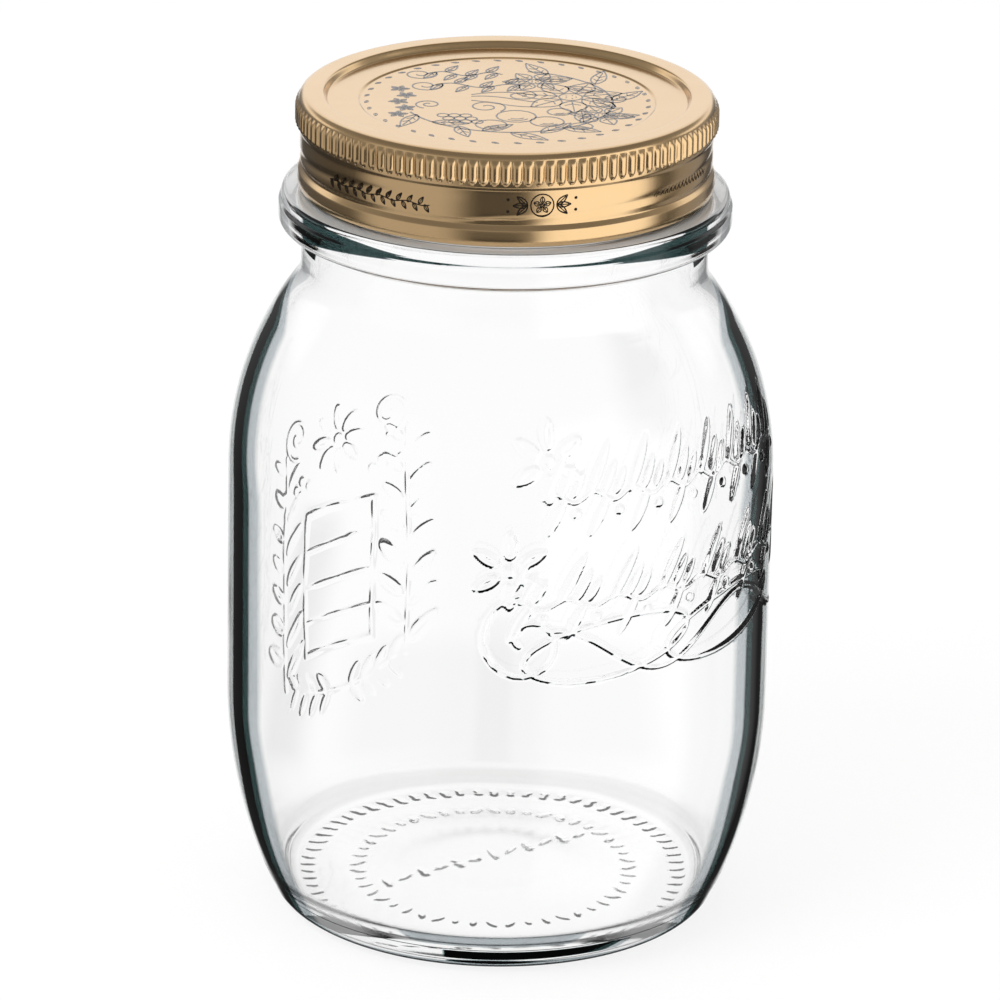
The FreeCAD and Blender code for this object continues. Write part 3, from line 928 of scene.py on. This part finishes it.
class Print:
    """Flat inked strokes, each a thin closed strip on a carrying surface."""

    def __init__(self, carry):
        self.carry = carry       # carry(u, v, lift) gives the point in millimetres
        self.vertices, self.faces = [], []

    def stroke(self, points, width):
        """One inked line of a width through points."""
        sides = []
        for i, (u, v) in enumerate(points):
            a = points[max(i - 1, 0)]
            b = points[min(i + 1, len(points) - 1)]
            du, dv = b[0] - a[0], b[1] - a[1]
            length = math.hypot(du, dv) or 1.0
            nu, nv = -dv / length * width / 2, du / length * width / 2
            sides.append(((u + nu, v + nv), (u - nu, v - nv)))
        base = len(self.vertices)
        for left, right in sides:
            self.vertices += [self.carry(*left, -INK_SUNK), self.carry(*right, -INK_SUNK),
                              self.carry(*right, INK_PROUD), self.carry(*left, INK_PROUD)]
        for i in range(len(points) - 1):
            a, b = base + 4 * i, base + 4 * i + 4
            for k in range(4):
                n = (k + 1) % 4
                self.faces.append([a + k, a + n, b + n, b + k])
        self.faces.append([base + 3, base + 2, base + 1, base])
        end = base + 4 * (len(points) - 1)
        self.faces.append([end, end + 1, end + 2, end + 3])

    def blob(self, u, v, radius):
        """A filled dot, made of three short wide strokes."""
        self.stroke([(u - radius, v), (u - radius * 0.5, v)], radius * 1.2)
        self.stroke([(u - radius * 0.55, v), (u + radius * 0.55, v)], radius * 1.9)
        self.stroke([(u + radius * 0.5, v), (u + radius, v)], radius * 1.2)

    def arc(self, u, v, radius, start, turn, width, count):
        """Part of a circle, from an angle and through a turn, in radians."""
        self.stroke([polar(u, v, radius, start + turn * i / count) for i in range(count + 1)], width)

    def ring(self, u, v, radius, width, count=14):
        """A circle made of short straight runs."""
        self.arc(u, v, radius, 0.0, 2 * math.pi, width, count)

    def leaf(self, u, v, length, width, turn, line, veins):
        """An outlined leaf with its midrib and side veins, growing at an angle from (u, v)."""
        c, s = math.cos(turn), math.sin(turn)

        def place(along, side):
            return (u + along * c - side * s, v + along * s + side * c)
        for hand in (-1, 1):
            half = hand * width / 2
            self.stroke(curve(lambda t: place(length * t, half * math.sin(math.pi * t ** 0.8)), 8), line)
        self.stroke([place(0, 0), place(length * 0.85, 0)], line * 0.8)
        for i in range(veins):
            x = length * (0.25 + 0.5 * i / veins)
            for hand in (-1, 1):
                self.stroke([place(x, 0), place(x + length * 0.12, hand * width * 0.3)], line * 0.7)

    def blossom(self, u, v, size, line, petals, turn):
        """Petals round a ring of seeds."""
        for i in range(petals):
            a = turn + 2 * math.pi * i / petals
            self.leaf(*polar(u, v, size * 0.25, a), size * 0.75, size * 0.5, a, line, 1)
        self.ring(u, v, size * 0.22, line)
        for i in range(5):
            a = 2 * math.pi * i / 5
            self.blob(*polar(u, v, size * 0.1, a), line * 0.5)

    def berry(self, u, v, radius, line):
        """A round fruit with two shading lines."""
        self.ring(u, v, radius, line)
        for k in (0.45, 0.7):
            self.arc(u, v, radius * k, -2.2, 1.6, line * 0.8, 5)

    def made(self, name):
        return mesh_object(name, self.vertices, self.faces, smooth=False)


FRUIT = ((1.5, -8.5, 3.3), (6.6, -11.2, 2.8), (-2.6, -13.4, 2.6), (8.6, -5.6, 2.0), (12.2, -13.4, 1.9))
TENDRILS = ((-3.5, -3.5, 3.4, 1), (2.2, 3.4, 3.0, -1), (-13.0, -2.6, 2.4, -1), (17.6, 2.6, 2.6, 1))
STEM_R = 17.5
SEEDS_R = 23.2


def lid_print(line, seed):
    """A harvest spray in fine lines on the inner disc: a large blossom and two smaller ones, round fruit
    and leaves on a curved stem, with small twigs and flowers beside it and a ring of seeds round it."""
    art = Print(lambda u, v, lift: (u, v, DISC_Z + lift))
    chance = random.Random(seed)
    art.blossom(10.5, 3.0, 9.0, line, 7, 0.3)
    art.blossom(15.5, -7.0, 5.6, line, 6, 0.9)
    art.blossom(4.5, 11.5, 5.4, line, 6, 0.1)
    for u, v, size in FRUIT:
        art.berry(u, v, size, line)
    for k in range(9):
        row, place = divmod(k, 3)
        art.ring(-10.6 + 1.9 * place + 0.95 * row, -8.6 - 1.7 * row, 0.95, line, 10)
    for t in range(15):
        a = math.radians(-150 + 15.5 * t)
        r = STEM_R + chance.uniform(-1.0, 1.0)
        lean = a + math.pi / 2 + (0.75 if t % 2 else -0.75) + chance.uniform(-0.2, 0.2)
        length = chance.uniform(6.0, 8.0)
        width = chance.uniform(2.4, 3.2)
        art.leaf(*polar(0.0, 0.0, r, a), length, width, lean, line, 2)
    art.arc(0.0, 0.0, STEM_R, math.radians(-156), math.radians(235), line * 1.3, 60)
    for u, v, size, hand in TENDRILS:
        art.stroke(spiral(u, v, size, 1.5, chance.uniform(0, 360), hand), line)
    for row, (v, span) in enumerate(((15.2, 12.0), (8.6, 15.0))):
        x0 = -13.0 + row

        def twig(t, x0=x0, v=v, span=span):
            return (x0 + span * t, v + 1.1 * math.sin(3 * math.pi * t))
        art.stroke(curve(twig, 26), line * 1.2)
        for i in range(7):
            lean = math.radians(62 if i % 2 else -118)
            art.leaf(*twig((i + 0.5) / 7), length=4.2, width=1.5, turn=lean, line=line, veins=1)
        art.stroke(spiral(x0 - 1.8, v - 0.6, size=3.0, turns=1.5, start=20, hand=-1), line)
    for i in range(3):
        wave = curve(lambda t: (-6.0 + 11.0 * t, 3.4 - 2.4 * i + 1.6 * math.sin(math.pi * t + i)), 16)
        art.stroke(wave, line)
    for i in range(5):
        art.blossom(-18.0 + 1.2 * (i % 2), 6.0 - 3.6 * i, 1.7, line * 0.7, 5, i)
    for i in range(40):
        a = math.radians(9.0 * i + 3.0)
        art.leaf(*polar(0.0, 0.0, SEEDS_R, a), 1.3, 0.6, a + 1.2, line * 0.6, 0)
    return art.made("lid_print")


def skirt_print(line):
    """Plain printed rows on the skirt: a leafy sprig, a blossom in a ring between leaves, and ticks."""
    def carry(u, v, lift):
        return (*polar(0.0, 0.0, SKIRT_R + lift, u / SKIRT_R), v)

    def across(azimuth):
        return math.radians(azimuth) * SKIRT_R
    art = Print(carry)
    v = 133.4
    art.stroke(curve(lambda t: (across(-147 + 36 * t), v + 0.2 * math.sin(8 * math.pi * t)), 60), line * 0.8)
    for i in range(21):
        lean = math.radians(58 if i % 2 else -58)
        art.leaf(across(-146.5 + 1.7 * i), v, 1.45, 0.62, lean, line * 0.85, 0)
    u, v = across(-80), 134.3
    art.ring(u, v, 1.9, line, 20)
    art.blossom(u, v, 1.5, line * 0.8, 5, 0.3)
    for side in (-1, 1):
        for lean in (-42, 0, 42):
            turn = math.radians(lean) if side > 0 else math.pi - math.radians(lean)
            art.leaf(u + side * 2.4, v, 2.4, 0.9, turn, line, 0)
        art.blob(u + side * 5.6, v + 1.0, 0.25)
        art.blob(u + side * 5.6, v - 1.0, 0.25)
    for i in range(15):
        u = across(-44 + 1.8 * i)
        art.stroke([(u - 0.3, 133.0), (u + 0.3, 133.8)], line * 0.8)
    return art.made("skirt_print")


# ---------------------------------------------------------------- materials

def blank_material(name):
    material = bpy.data.materials.new(name)
    material.use_nodes = True
    material.node_tree.nodes.clear()
    return material, material.node_tree


def glass_material(tint, edge, ior):
    """Clear soda-lime glass, pressed in an iron mould and fire-polished: bright and colourless where
    the eye looks straight through, with painted shade in its colour, grey and then black where it
    looks along the wall, painted dark crescents in the collar and in the thick heel, and painted
    light grey on the collar's top and at the rims of the collar, the neck and the heel."""
    material, tree = blank_material("soda_lime_glass")
    place = add(tree, "ShaderNodeTexCoord").outputs["Object"]
    x, y, z = axes_of(tree, place)
    z = z / MM
    azimuth = x.step("ARCTAN2", y * -1.0)
    turn = number(tree, "ShaderNodeLayerWeight", {"Blend": 0.5}, "Facing")
    surface = add(tree, "ShaderNodeNewGeometry").outputs
    slope = axes_of(tree, surface["Normal"])[2]
    relief, inside = (number(tree, "ShaderNodeAttribute", None, "Fac", attribute_name=name)
                      for name in ("relief", "inside"))
    outer = 1.0 - inside.greater(surface["Backfacing"])
    swirl = add(tree, "ShaderNodeTexNoise", {"Vector": place, "Scale": 60.0, "Detail": 2.0, "Roughness": 0.4})
    skin = add(tree, "ShaderNodeBump", {"Height": swirl.outputs[0], "Strength": 0.12, "Distance": 0.25 * MM})

    # Painted shade: the glass's colour turns grey and then black where the wall is seen edge on.
    side = turn * slope.fades(*UPRIGHT_SLOPE) * z.smooth(*NECK_Z, 1.0, NECK_TONE)
    side = side - z.smooth(*HEEL_Z, HEEL_THINNER, 0.0)
    # Painted grey shade where the wall turns under.
    foot = number(tree, "ShaderNodeMapRange", {
        "Value": slope, "From Min": FOOT_SLOPE[0], "From Max": FOOT_SLOPE[1], "To Max": SOFT})
    # Painted shade: a dark crescent in the collar and a dark notch under it.
    width = turn * COLLAR_DARK_WIDTH[0] + COLLAR_DARK_WIDTH[1]
    collar = (width - abs(z - COLLAR_DARK_Z)).smooth(-0.25, 0.25) * turn.fades(*COLLAR_DARK_TURN)
    notch = z.within(*NOTCH_Z) * turn.smooth(*NOTCH_TURN)
    # Painted shade: a dark crescent in the heel with painted grey shade over it.
    front = turn - (CRESCENT_TAPER[0] - z).greater(0.0) * CRESCENT_TAPER[1]
    gap = azimuth.smooth(*CRESCENT_GAP[:2]) * azimuth.fades(*CRESCENT_GAP[2:])
    thick = (front - azimuth.smooth(*CRESCENT_LONGER)).fades(*CRESCENT_TURN) * (1.0 - gap)
    crescent = z.within(*CRESCENT_Z) * thick
    grey_shade = z.within(*GREY_SHADE_Z) * front.fades(*CRESCENT_TURN)

    # Painted light: light grey, partly opaque glass on the collar's top, at the rims and in the heel's
    # corner.
    pale = z.within(*COLLAR_TOP_Z) * slope.smooth(*COLLAR_TOP_SLOPE)
    for rim in PALE_RIMS_Z:
        pale = pale.greater(z.within(*rim) * turn.smooth(*PALE_RIMS_TURN))
    corner = z.within(*PALE_HEEL_Z) * turn.within(*PALE_HEEL_TURN)
    pale = (corner * PALE_HEEL + pale) * outer
    # Painted shade: broken dark lines on the ornament's flanks.
    broken = number(tree, "ShaderNodeTexNoise", {"Vector": place, "Scale": 260.0, "Detail": 2.0})
    flank = slope.smooth(*FLANK_SLOPE) * relief.smooth(*FLANK_RELIEF) * broken.smooth(*FLANK_BREAKS)
    flank = flank * z.smooth(*FLANK_Z) * turn.smooth(*FLANK_TURN)

    tones = [(collar, TEAL), (notch, BLACK), (crescent, BLACK), (grey_shade, DUSK), (pale, PALE)]
    # Painted thin dark lines of shade round the heel.
    for line_z in HEEL_LINES_Z:
        tones.append((z.within(line_z - HEEL_LINE[0], line_z + HEEL_LINE[0], HEEL_LINE[1]), BLACK))
    tone = side.greater(foot)
    for mask, level in tones:
        tone = tone.greater(mask * level)
    ramp = add(tree, "ShaderNodeValToRGB", {"Fac": (tone * outer).greater(flank * BLACK)})
    stops = [(CLEAR_UNTIL, tint), *EDGE_RAMP, *((core, edge) for core in EDGE_CORE), EDGE_RIM]
    set_stops(ramp, [(at, linear(colour)) for at, colour in stops])
    # The places of painted light lose part of their transmission and turn partly opaque.
    shader = add(tree, "ShaderNodeBsdfPrincipled", {
        "Base Color": ramp.outputs[0], "Roughness": z.within(*BLUR_Z) * BLUR, "IOR": ior,
        "Transmission Weight": 1.0 - pale * PALE_SHARE,
        "Specular Tint": (0.75, 0.75, 0.75, 1.0), "Normal": skin.outputs[0]})
    depth = add(tree, "ShaderNodeVolumeAbsorption", {"Color": linear("#CFDCDA"), "Density": 1.0})
    add(tree, "ShaderNodeOutputMaterial", {"Surface": shader.outputs[0], "Volume": depth.outputs[0]})
    return material


def lacquer_material(gold, roughness):
    """Tinplate under gold lacquer: metal that reflects warmly, with the fine straight grain of rolled
    sheet, drawn coarser than the real 0.05 mm so that it shows, and a thin clear coat over it."""
    material, tree = blank_material("gold_lacquered_tinplate")
    place = add(tree, "ShaderNodeTexCoord").outputs["Object"]
    grain = add(tree, "ShaderNodeMapping", {"Vector": place, "Scale": (60.0, 2600.0, 60.0)},
                vector_type="POINT")
    lines = add(tree, "ShaderNodeTexNoise", {"Vector": grain.outputs[0], "Scale": 1.0, "Detail": 3.0})
    cloud = add(tree, "ShaderNodeTexNoise", {"Vector": place, "Scale": 90.0, "Detail": 3.0})
    tone = add(tree, "ShaderNodeMix", {
        "Factor": cloud.outputs[0], "A": linear(gold[0]), "B": linear(gold[1])}, data_type="RGBA")
    gloss = add(tree, "ShaderNodeMapRange", {"Value": lines.outputs[0], "To Min": roughness - 0.05,
                                              "To Max": roughness + 0.06})
    bump = add(tree, "ShaderNodeBump", {"Height": lines.outputs[0], "Strength": 0.08, "Distance": 0.02 * MM})
    shader = add(tree, "ShaderNodeBsdfPrincipled", {
        "Base Color": tone.outputs[2], "Metallic": 1.0, "Roughness": gloss.outputs[0], "Coat Weight": 0.6,
        "Coat Roughness": 0.12, "Normal": bump.outputs[0]})
    add(tree, "ShaderNodeOutputMaterial", {"Surface": shader.outputs[0]})
    return material


def ink_material(name, colour, faded):
    """Litho printing ink on lacquer: thin and a little uneven, so some of the gold shows in it."""
    material, tree = blank_material(name)
    place = add(tree, "ShaderNodeTexCoord").outputs["Object"]
    speck = add(tree, "ShaderNodeTexNoise", {"Vector": place, "Scale": 900.0, "Detail": 2.0})
    tone = add(tree, "ShaderNodeMix", {"Factor": speck.outputs[0], "A": linear(colour), "B": linear(faded)},
               data_type="RGBA")
    shader = add(tree, "ShaderNodeBsdfPrincipled", {
        "Base Color": tone.outputs[2], "Roughness": 0.6, "Specular IOR Level": 0.2})
    add(tree, "ShaderNodeOutputMaterial", {"Surface": shader.outputs[0]})
    return material


# ---------------------------------------------------------------- studio

def floor_material(white):
    """A pale sweep: white to the camera with the jar's soft shadow on it; seen through the glass, a little
    darker in places, with a painted contact shadow round the jar's foot and painted grey patches that
    stand in for reflections in the glass."""
    material, tree = blank_material("studio_floor")
    path = add(tree, "ShaderNodeLightPath").outputs
    lit = add(tree, "ShaderNodeBsdfDiffuse", {"Color": linear(FLOOR_COLOUR)})
    glow = add(tree, "ShaderNodeEmission", {"Strength": white * FLOOR_GLOW})
    place = add(tree, "ShaderNodeTexCoord").outputs["Object"]
    # Painted shadow: seen through the glass, the floor's glow is darker in a ring round the jar's foot.
    radius = number(tree, "ShaderNodeVectorMath", {0: place}, "Value", operation="LENGTH") / MM
    painted_contact_shadow = radius.smooth(*CONTACT_R[:2]) * radius.fades(*CONTACT_R[2:])
    level = 1.0 - painted_contact_shadow * (1.0 - CONTACT_LEVEL)
    x, y, _ = axes_of(tree, place)
    # Painted reflections: grey patches in what the glass shows of the floor.
    for low_x, high_x, low_y, high_y, soft, grey in PATCHES:
        patch = x.within(low_x * MM, high_x * MM, soft * MM)
        patch = patch * y.within(low_y * MM, high_y * MM, 2 * soft * MM)
        level = level * (1.0 - patch * (1.0 - grey))
    # What the glass shows of the floor: an even glow with the painted shadow and painted grey patches in it.
    beneath = add(tree, "ShaderNodeEmission", {"Strength": level * white})
    shaded = add(tree, "ShaderNodeMixShader", {0: FLOOR_SHARE, 1: lit.outputs[0], 2: glow.outputs[0]})
    plain = add(tree, "ShaderNodeMixShader", {
        0: path["Is Camera Ray"], 1: lit.outputs[0], 2: shaded.outputs[0]})
    show = add(tree, "ShaderNodeMixShader", {
        0: path["Is Transmission Ray"], 1: plain.outputs[0], 2: beneath.outputs[0]})
    add(tree, "ShaderNodeOutputMaterial", {"Surface": show.outputs[0]})
    return material


def make_world(white):
    """White to the camera, through the glass and as light, while polished pieces mirror a plain studio: a
    pale backdrop behind, a bright soft box at the right, weaker ones elsewhere and a dim room."""
    world = bpy.data.worlds.new("studio")
    world.use_nodes = True
    tree = world.node_tree
    tree.nodes.clear()

    path = add(tree, "ShaderNodeLightPath").outputs
    x, y, z = axes_of(tree, add(tree, "ShaderNodeTexCoord").outputs["Generated"])
    azimuth = x.step("ARCTAN2", y * -1.0) * (180 / math.pi)
    room = add(tree, "ShaderNodeValToRGB", {"Fac": z * 0.5 + 0.5})
    set_stops(room, [(at, (grey, grey, grey, 1.0)) for at, grey in ROOM_STOPS])
    level = Number(tree, room.outputs[0])
    for low, high, soft, low_z, high_z, strength in BOXES:
        angle = abs(azimuth) if high > 180 else azimuth
        level = level.greater(angle.within(low, high, soft) * z.within(low_z, high_z, 0.1) * strength)
    glossy = Number(tree, path["Is Glossy Ray"])
    mirrored = level * glossy + (1.0 - glossy)
    seen = Number(tree, path["Is Camera Ray"]).greater(path["Is Transmission Ray"])
    around = add(tree, "ShaderNodeBackground", {"Strength": mirrored})
    backdrop = add(tree, "ShaderNodeBackground", {"Color": (1.0, 1.0, 1.0, 1.0), "Strength": white})
    mixed = add(tree, "ShaderNodeMixShader", {0: seen, 1: around.outputs[0], 2: backdrop.outputs[0]})
    add(tree, "ShaderNodeOutputWorld", {"Surface": mixed.outputs[0]})
    bpy.context.scene.world = world


def make_lamp():
    """One soft lamp above, to the left and in front, which neither metal nor glass shows."""
    data = bpy.data.lights.new("key", "AREA")
    data.size, data.energy = LAMP_SIZE, LAMP_POWER
    lamp = bpy.data.objects.new("key", data)
    lamp.location = LAMP_AT
    lamp.rotation_euler = (Vector(LAMP_AIM) - Vector(LAMP_AT)).to_track_quat("-Z", "Y").to_euler()
    lamp.visible_glossy = lamp.visible_transmission = False
    bpy.context.scene.collection.objects.link(lamp)


def make_camera(elevation, distance, aim_z, lens, roll):
    """A long lens at the jar's front, a little above it."""
    data = bpy.data.cameras.new("camera")
    data.lens, data.sensor_width = lens, 36.0
    data.clip_start, data.clip_end = 0.05, 20.0
    camera = bpy.data.objects.new("camera", data)
    e = math.radians(elevation)
    back = Vector((0.0, -distance * math.cos(e), distance * math.sin(e)))
    camera.location = Vector((0.0, 0.0, aim_z)) + back
    camera.rotation_euler = (-back).to_track_quat("-Z", "Y").to_euler()
    camera.rotation_euler.rotate_axis("Z", math.radians(roll))
    bpy.context.scene.collection.objects.link(camera)
    bpy.context.scene.camera = camera


# ---------------------------------------------------------------- add-on

class GlassSettings(bpy.types.PropertyGroup):
    relief: FloatProperty(name="Relief height", description="How far the ornament stands out of the glass",
                          default=0.49 * MM, unit="LENGTH")
    stipple_bars: IntProperty(name="Stipple bars", description="Bars round the bearing ring", default=68)
    waviness: FloatProperty(name="Waviness", description="Unevenness of the inner wall", default=0.2 * MM,
                            unit="LENGTH")
    tint: StringProperty(name="Clear colour", description="Colour of the glass seen straight through",
                         default="#FFFFFF")
    # The edge colour is painted shade: the black that the glass shows where its wall is seen edge on.
    edge: StringProperty(name="Edge colour", description="Colour of the glass seen along its wall",
                         default="#000000")
    ior: FloatProperty(name="IOR", description="Refractive index of soda-lime glass", default=1.52)


class LidSettings(bpy.types.PropertyGroup):
    ribs: IntProperty(name="Ribs", description="Ribs of the knurled band", default=120)
    gold: StringProperty(name="Gold", description="Main colour of the lacquer", default="#EECA98")
    gold_deep: StringProperty(name="Deep gold", description="Colour where the lacquer lies thicker",
                              default="#E6BF89")
    roughness: FloatProperty(name="Roughness", description="Roughness of the lacquered sheet", default=0.2)
    line: FloatProperty(name="Printed line", description="Width of the garland's lines", default=0.28 * MM,
                        unit="LENGTH")
    seed: IntProperty(name="Seed", description="Arrangement of the garland", default=7)
    ink: StringProperty(name="Garland ink", description="Ink of the garland", default="#8C909C")
    dark_ink: StringProperty(name="Skirt ink", description="Ink of the skirt", default="#120B05")


class StudioSettings(bpy.types.PropertyGroup):
    elevation: FloatProperty(name="Elevation", description="Camera height above the horizon in degrees",
                             default=20.19)
    distance: FloatProperty(name="Distance", description="From the camera to the jar", default=1.186,
                            unit="LENGTH")
    lens: FloatProperty(name="Lens", description="Focal length in millimetres", default=252.2)
    roll: FloatProperty(name="Roll", description="Lean of the camera in degrees", default=1.07)
    aim_z: FloatProperty(name="Aim height", description="Height that the camera looks at", default=0.0710,
                         unit="LENGTH")
    white: FloatProperty(name="White", description="Brightness of the background", default=1.0)


def finish_piece(thing, slot, *nodes):
    """The piece rides with the jar and stands for its CAD node, which it hides; its slot is not used."""
    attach(thing, "root")
    if nodes:
        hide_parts(*nodes)


class JAR_OT_glass(bpy.types.Operator):
    """Turns the glass, raises its ornament and stands it in for the CAD jar"""
    bl_idname = "jar.glass"
    bl_label = "Make the glass"

    def execute(self, context):
        settings = context.scene.jar_glass
        material = glass_material(settings.tint, settings.edge, settings.ior)
        jar = apply_tree(glass_blank(), glass_tree(material), {
            "Relief height": settings.relief,
            "Stipple bars": settings.stipple_bars,
            "Waviness": settings.waviness,
        })
        finish_piece(jar, "clear_glass", "glass_jar")
        return {"FINISHED"}


class JAR_OT_lid(bpy.types.Operator):
    """Spins the lid's sheet with its rolled thread and sets the knurled band on it"""
    bl_idname = "jar.lid"
    bl_label = "Make the lid"

    def execute(self, context):
        settings = context.scene.jar_lid
        material = lacquer_material((settings.gold, settings.gold_deep), settings.roughness)
        shell = lid_shell()
        shell.data.materials.append(material)
        finish_piece(shell, "gold_lacquered_tinplate", "screw_lid")
        rib = knurl_rib(settings.ribs, LID_HIGH[0] / MM)
        band = apply_tree(rib, knurl_tree(material), {"Ribs": settings.ribs})
        finish_piece(band, "gold_lacquered_tinplate")
        return {"FINISHED"}


class JAR_OT_print(bpy.types.Operator):
    """Prints the garland on the lid and the plain rows on its skirt"""
    bl_idname = "jar.print"
    bl_label = "Print the lid"

    def execute(self, context):
        settings = context.scene.jar_lid
        garland = lid_print(settings.line / MM, settings.seed)
        garland.data.materials.append(ink_material("blue_grey_ink", settings.ink, FADED_GREY))
        finish_piece(garland, "gold_lacquered_tinplate")
        rows = skirt_print(SKIRT_LINE)
        rows.data.materials.append(ink_material("brown_ink", settings.dark_ink, FADED_BROWN))
        finish_piece(rows, "gold_lacquered_tinplate")
        return {"FINISHED"}


class JAR_OT_studio(bpy.types.Operator):
    """Lays the pale floor, lights the jar and sets the camera"""
    bl_idname = "jar.studio"
    bl_label = "Make the studio"

    def execute(self, context):
        settings = context.scene.jar_studio
        h = FLOOR_HALF
        corners = [(-h, -h, 0), (h, -h, 0), (h, h, 0), (-h, h, 0)]
        floor = mesh_object("floor", corners, [[0, 1, 2, 3]], smooth=False)
        floor.data.materials.append(floor_material(settings.white))
        floor.visible_glossy = False
        make_world(settings.white)
        make_lamp()
        make_camera(settings.elevation, settings.distance, settings.aim_z, settings.lens, settings.roll)
        context.scene.view_settings.view_transform = "Standard"
        return {"FINISHED"}


class JAR_PT_panel(bpy.types.Panel):
    """The jar's makers in the sidebar"""
    bl_idname = "JAR_PT_panel"
    bl_label = "Preserving jar"
    bl_space_type = "VIEW_3D"
    bl_region_type = "UI"
    bl_category = "Jar"

    def draw(self, context):
        for operator in OPERATORS:
            self.layout.operator(operator.bl_idname)


OPERATORS = (JAR_OT_glass, JAR_OT_lid, JAR_OT_print, JAR_OT_studio)
GROUPS = {"jar_glass": GlassSettings, "jar_lid": LidSettings, "jar_studio": StudioSettings}


def register():
    for cls in (*GROUPS.values(), *OPERATORS, JAR_PT_panel):
        bpy.utils.register_class(cls)
    for name, group in GROUPS.items():
        setattr(bpy.types.Scene, name, PointerProperty(type=group))


def unregister():
    for name in GROUPS:
        delattr(bpy.types.Scene, name)
    for cls in (JAR_PT_panel, *reversed(OPERATORS), *GROUPS.values()):
        bpy.utils.unregister_class(cls)


def main():
    register()
    bpy.ops.jar.glass()
    bpy.ops.jar.lid()
    bpy.ops.jar.print()
    bpy.ops.jar.studio()


if __name__ == "__main__":
    main()
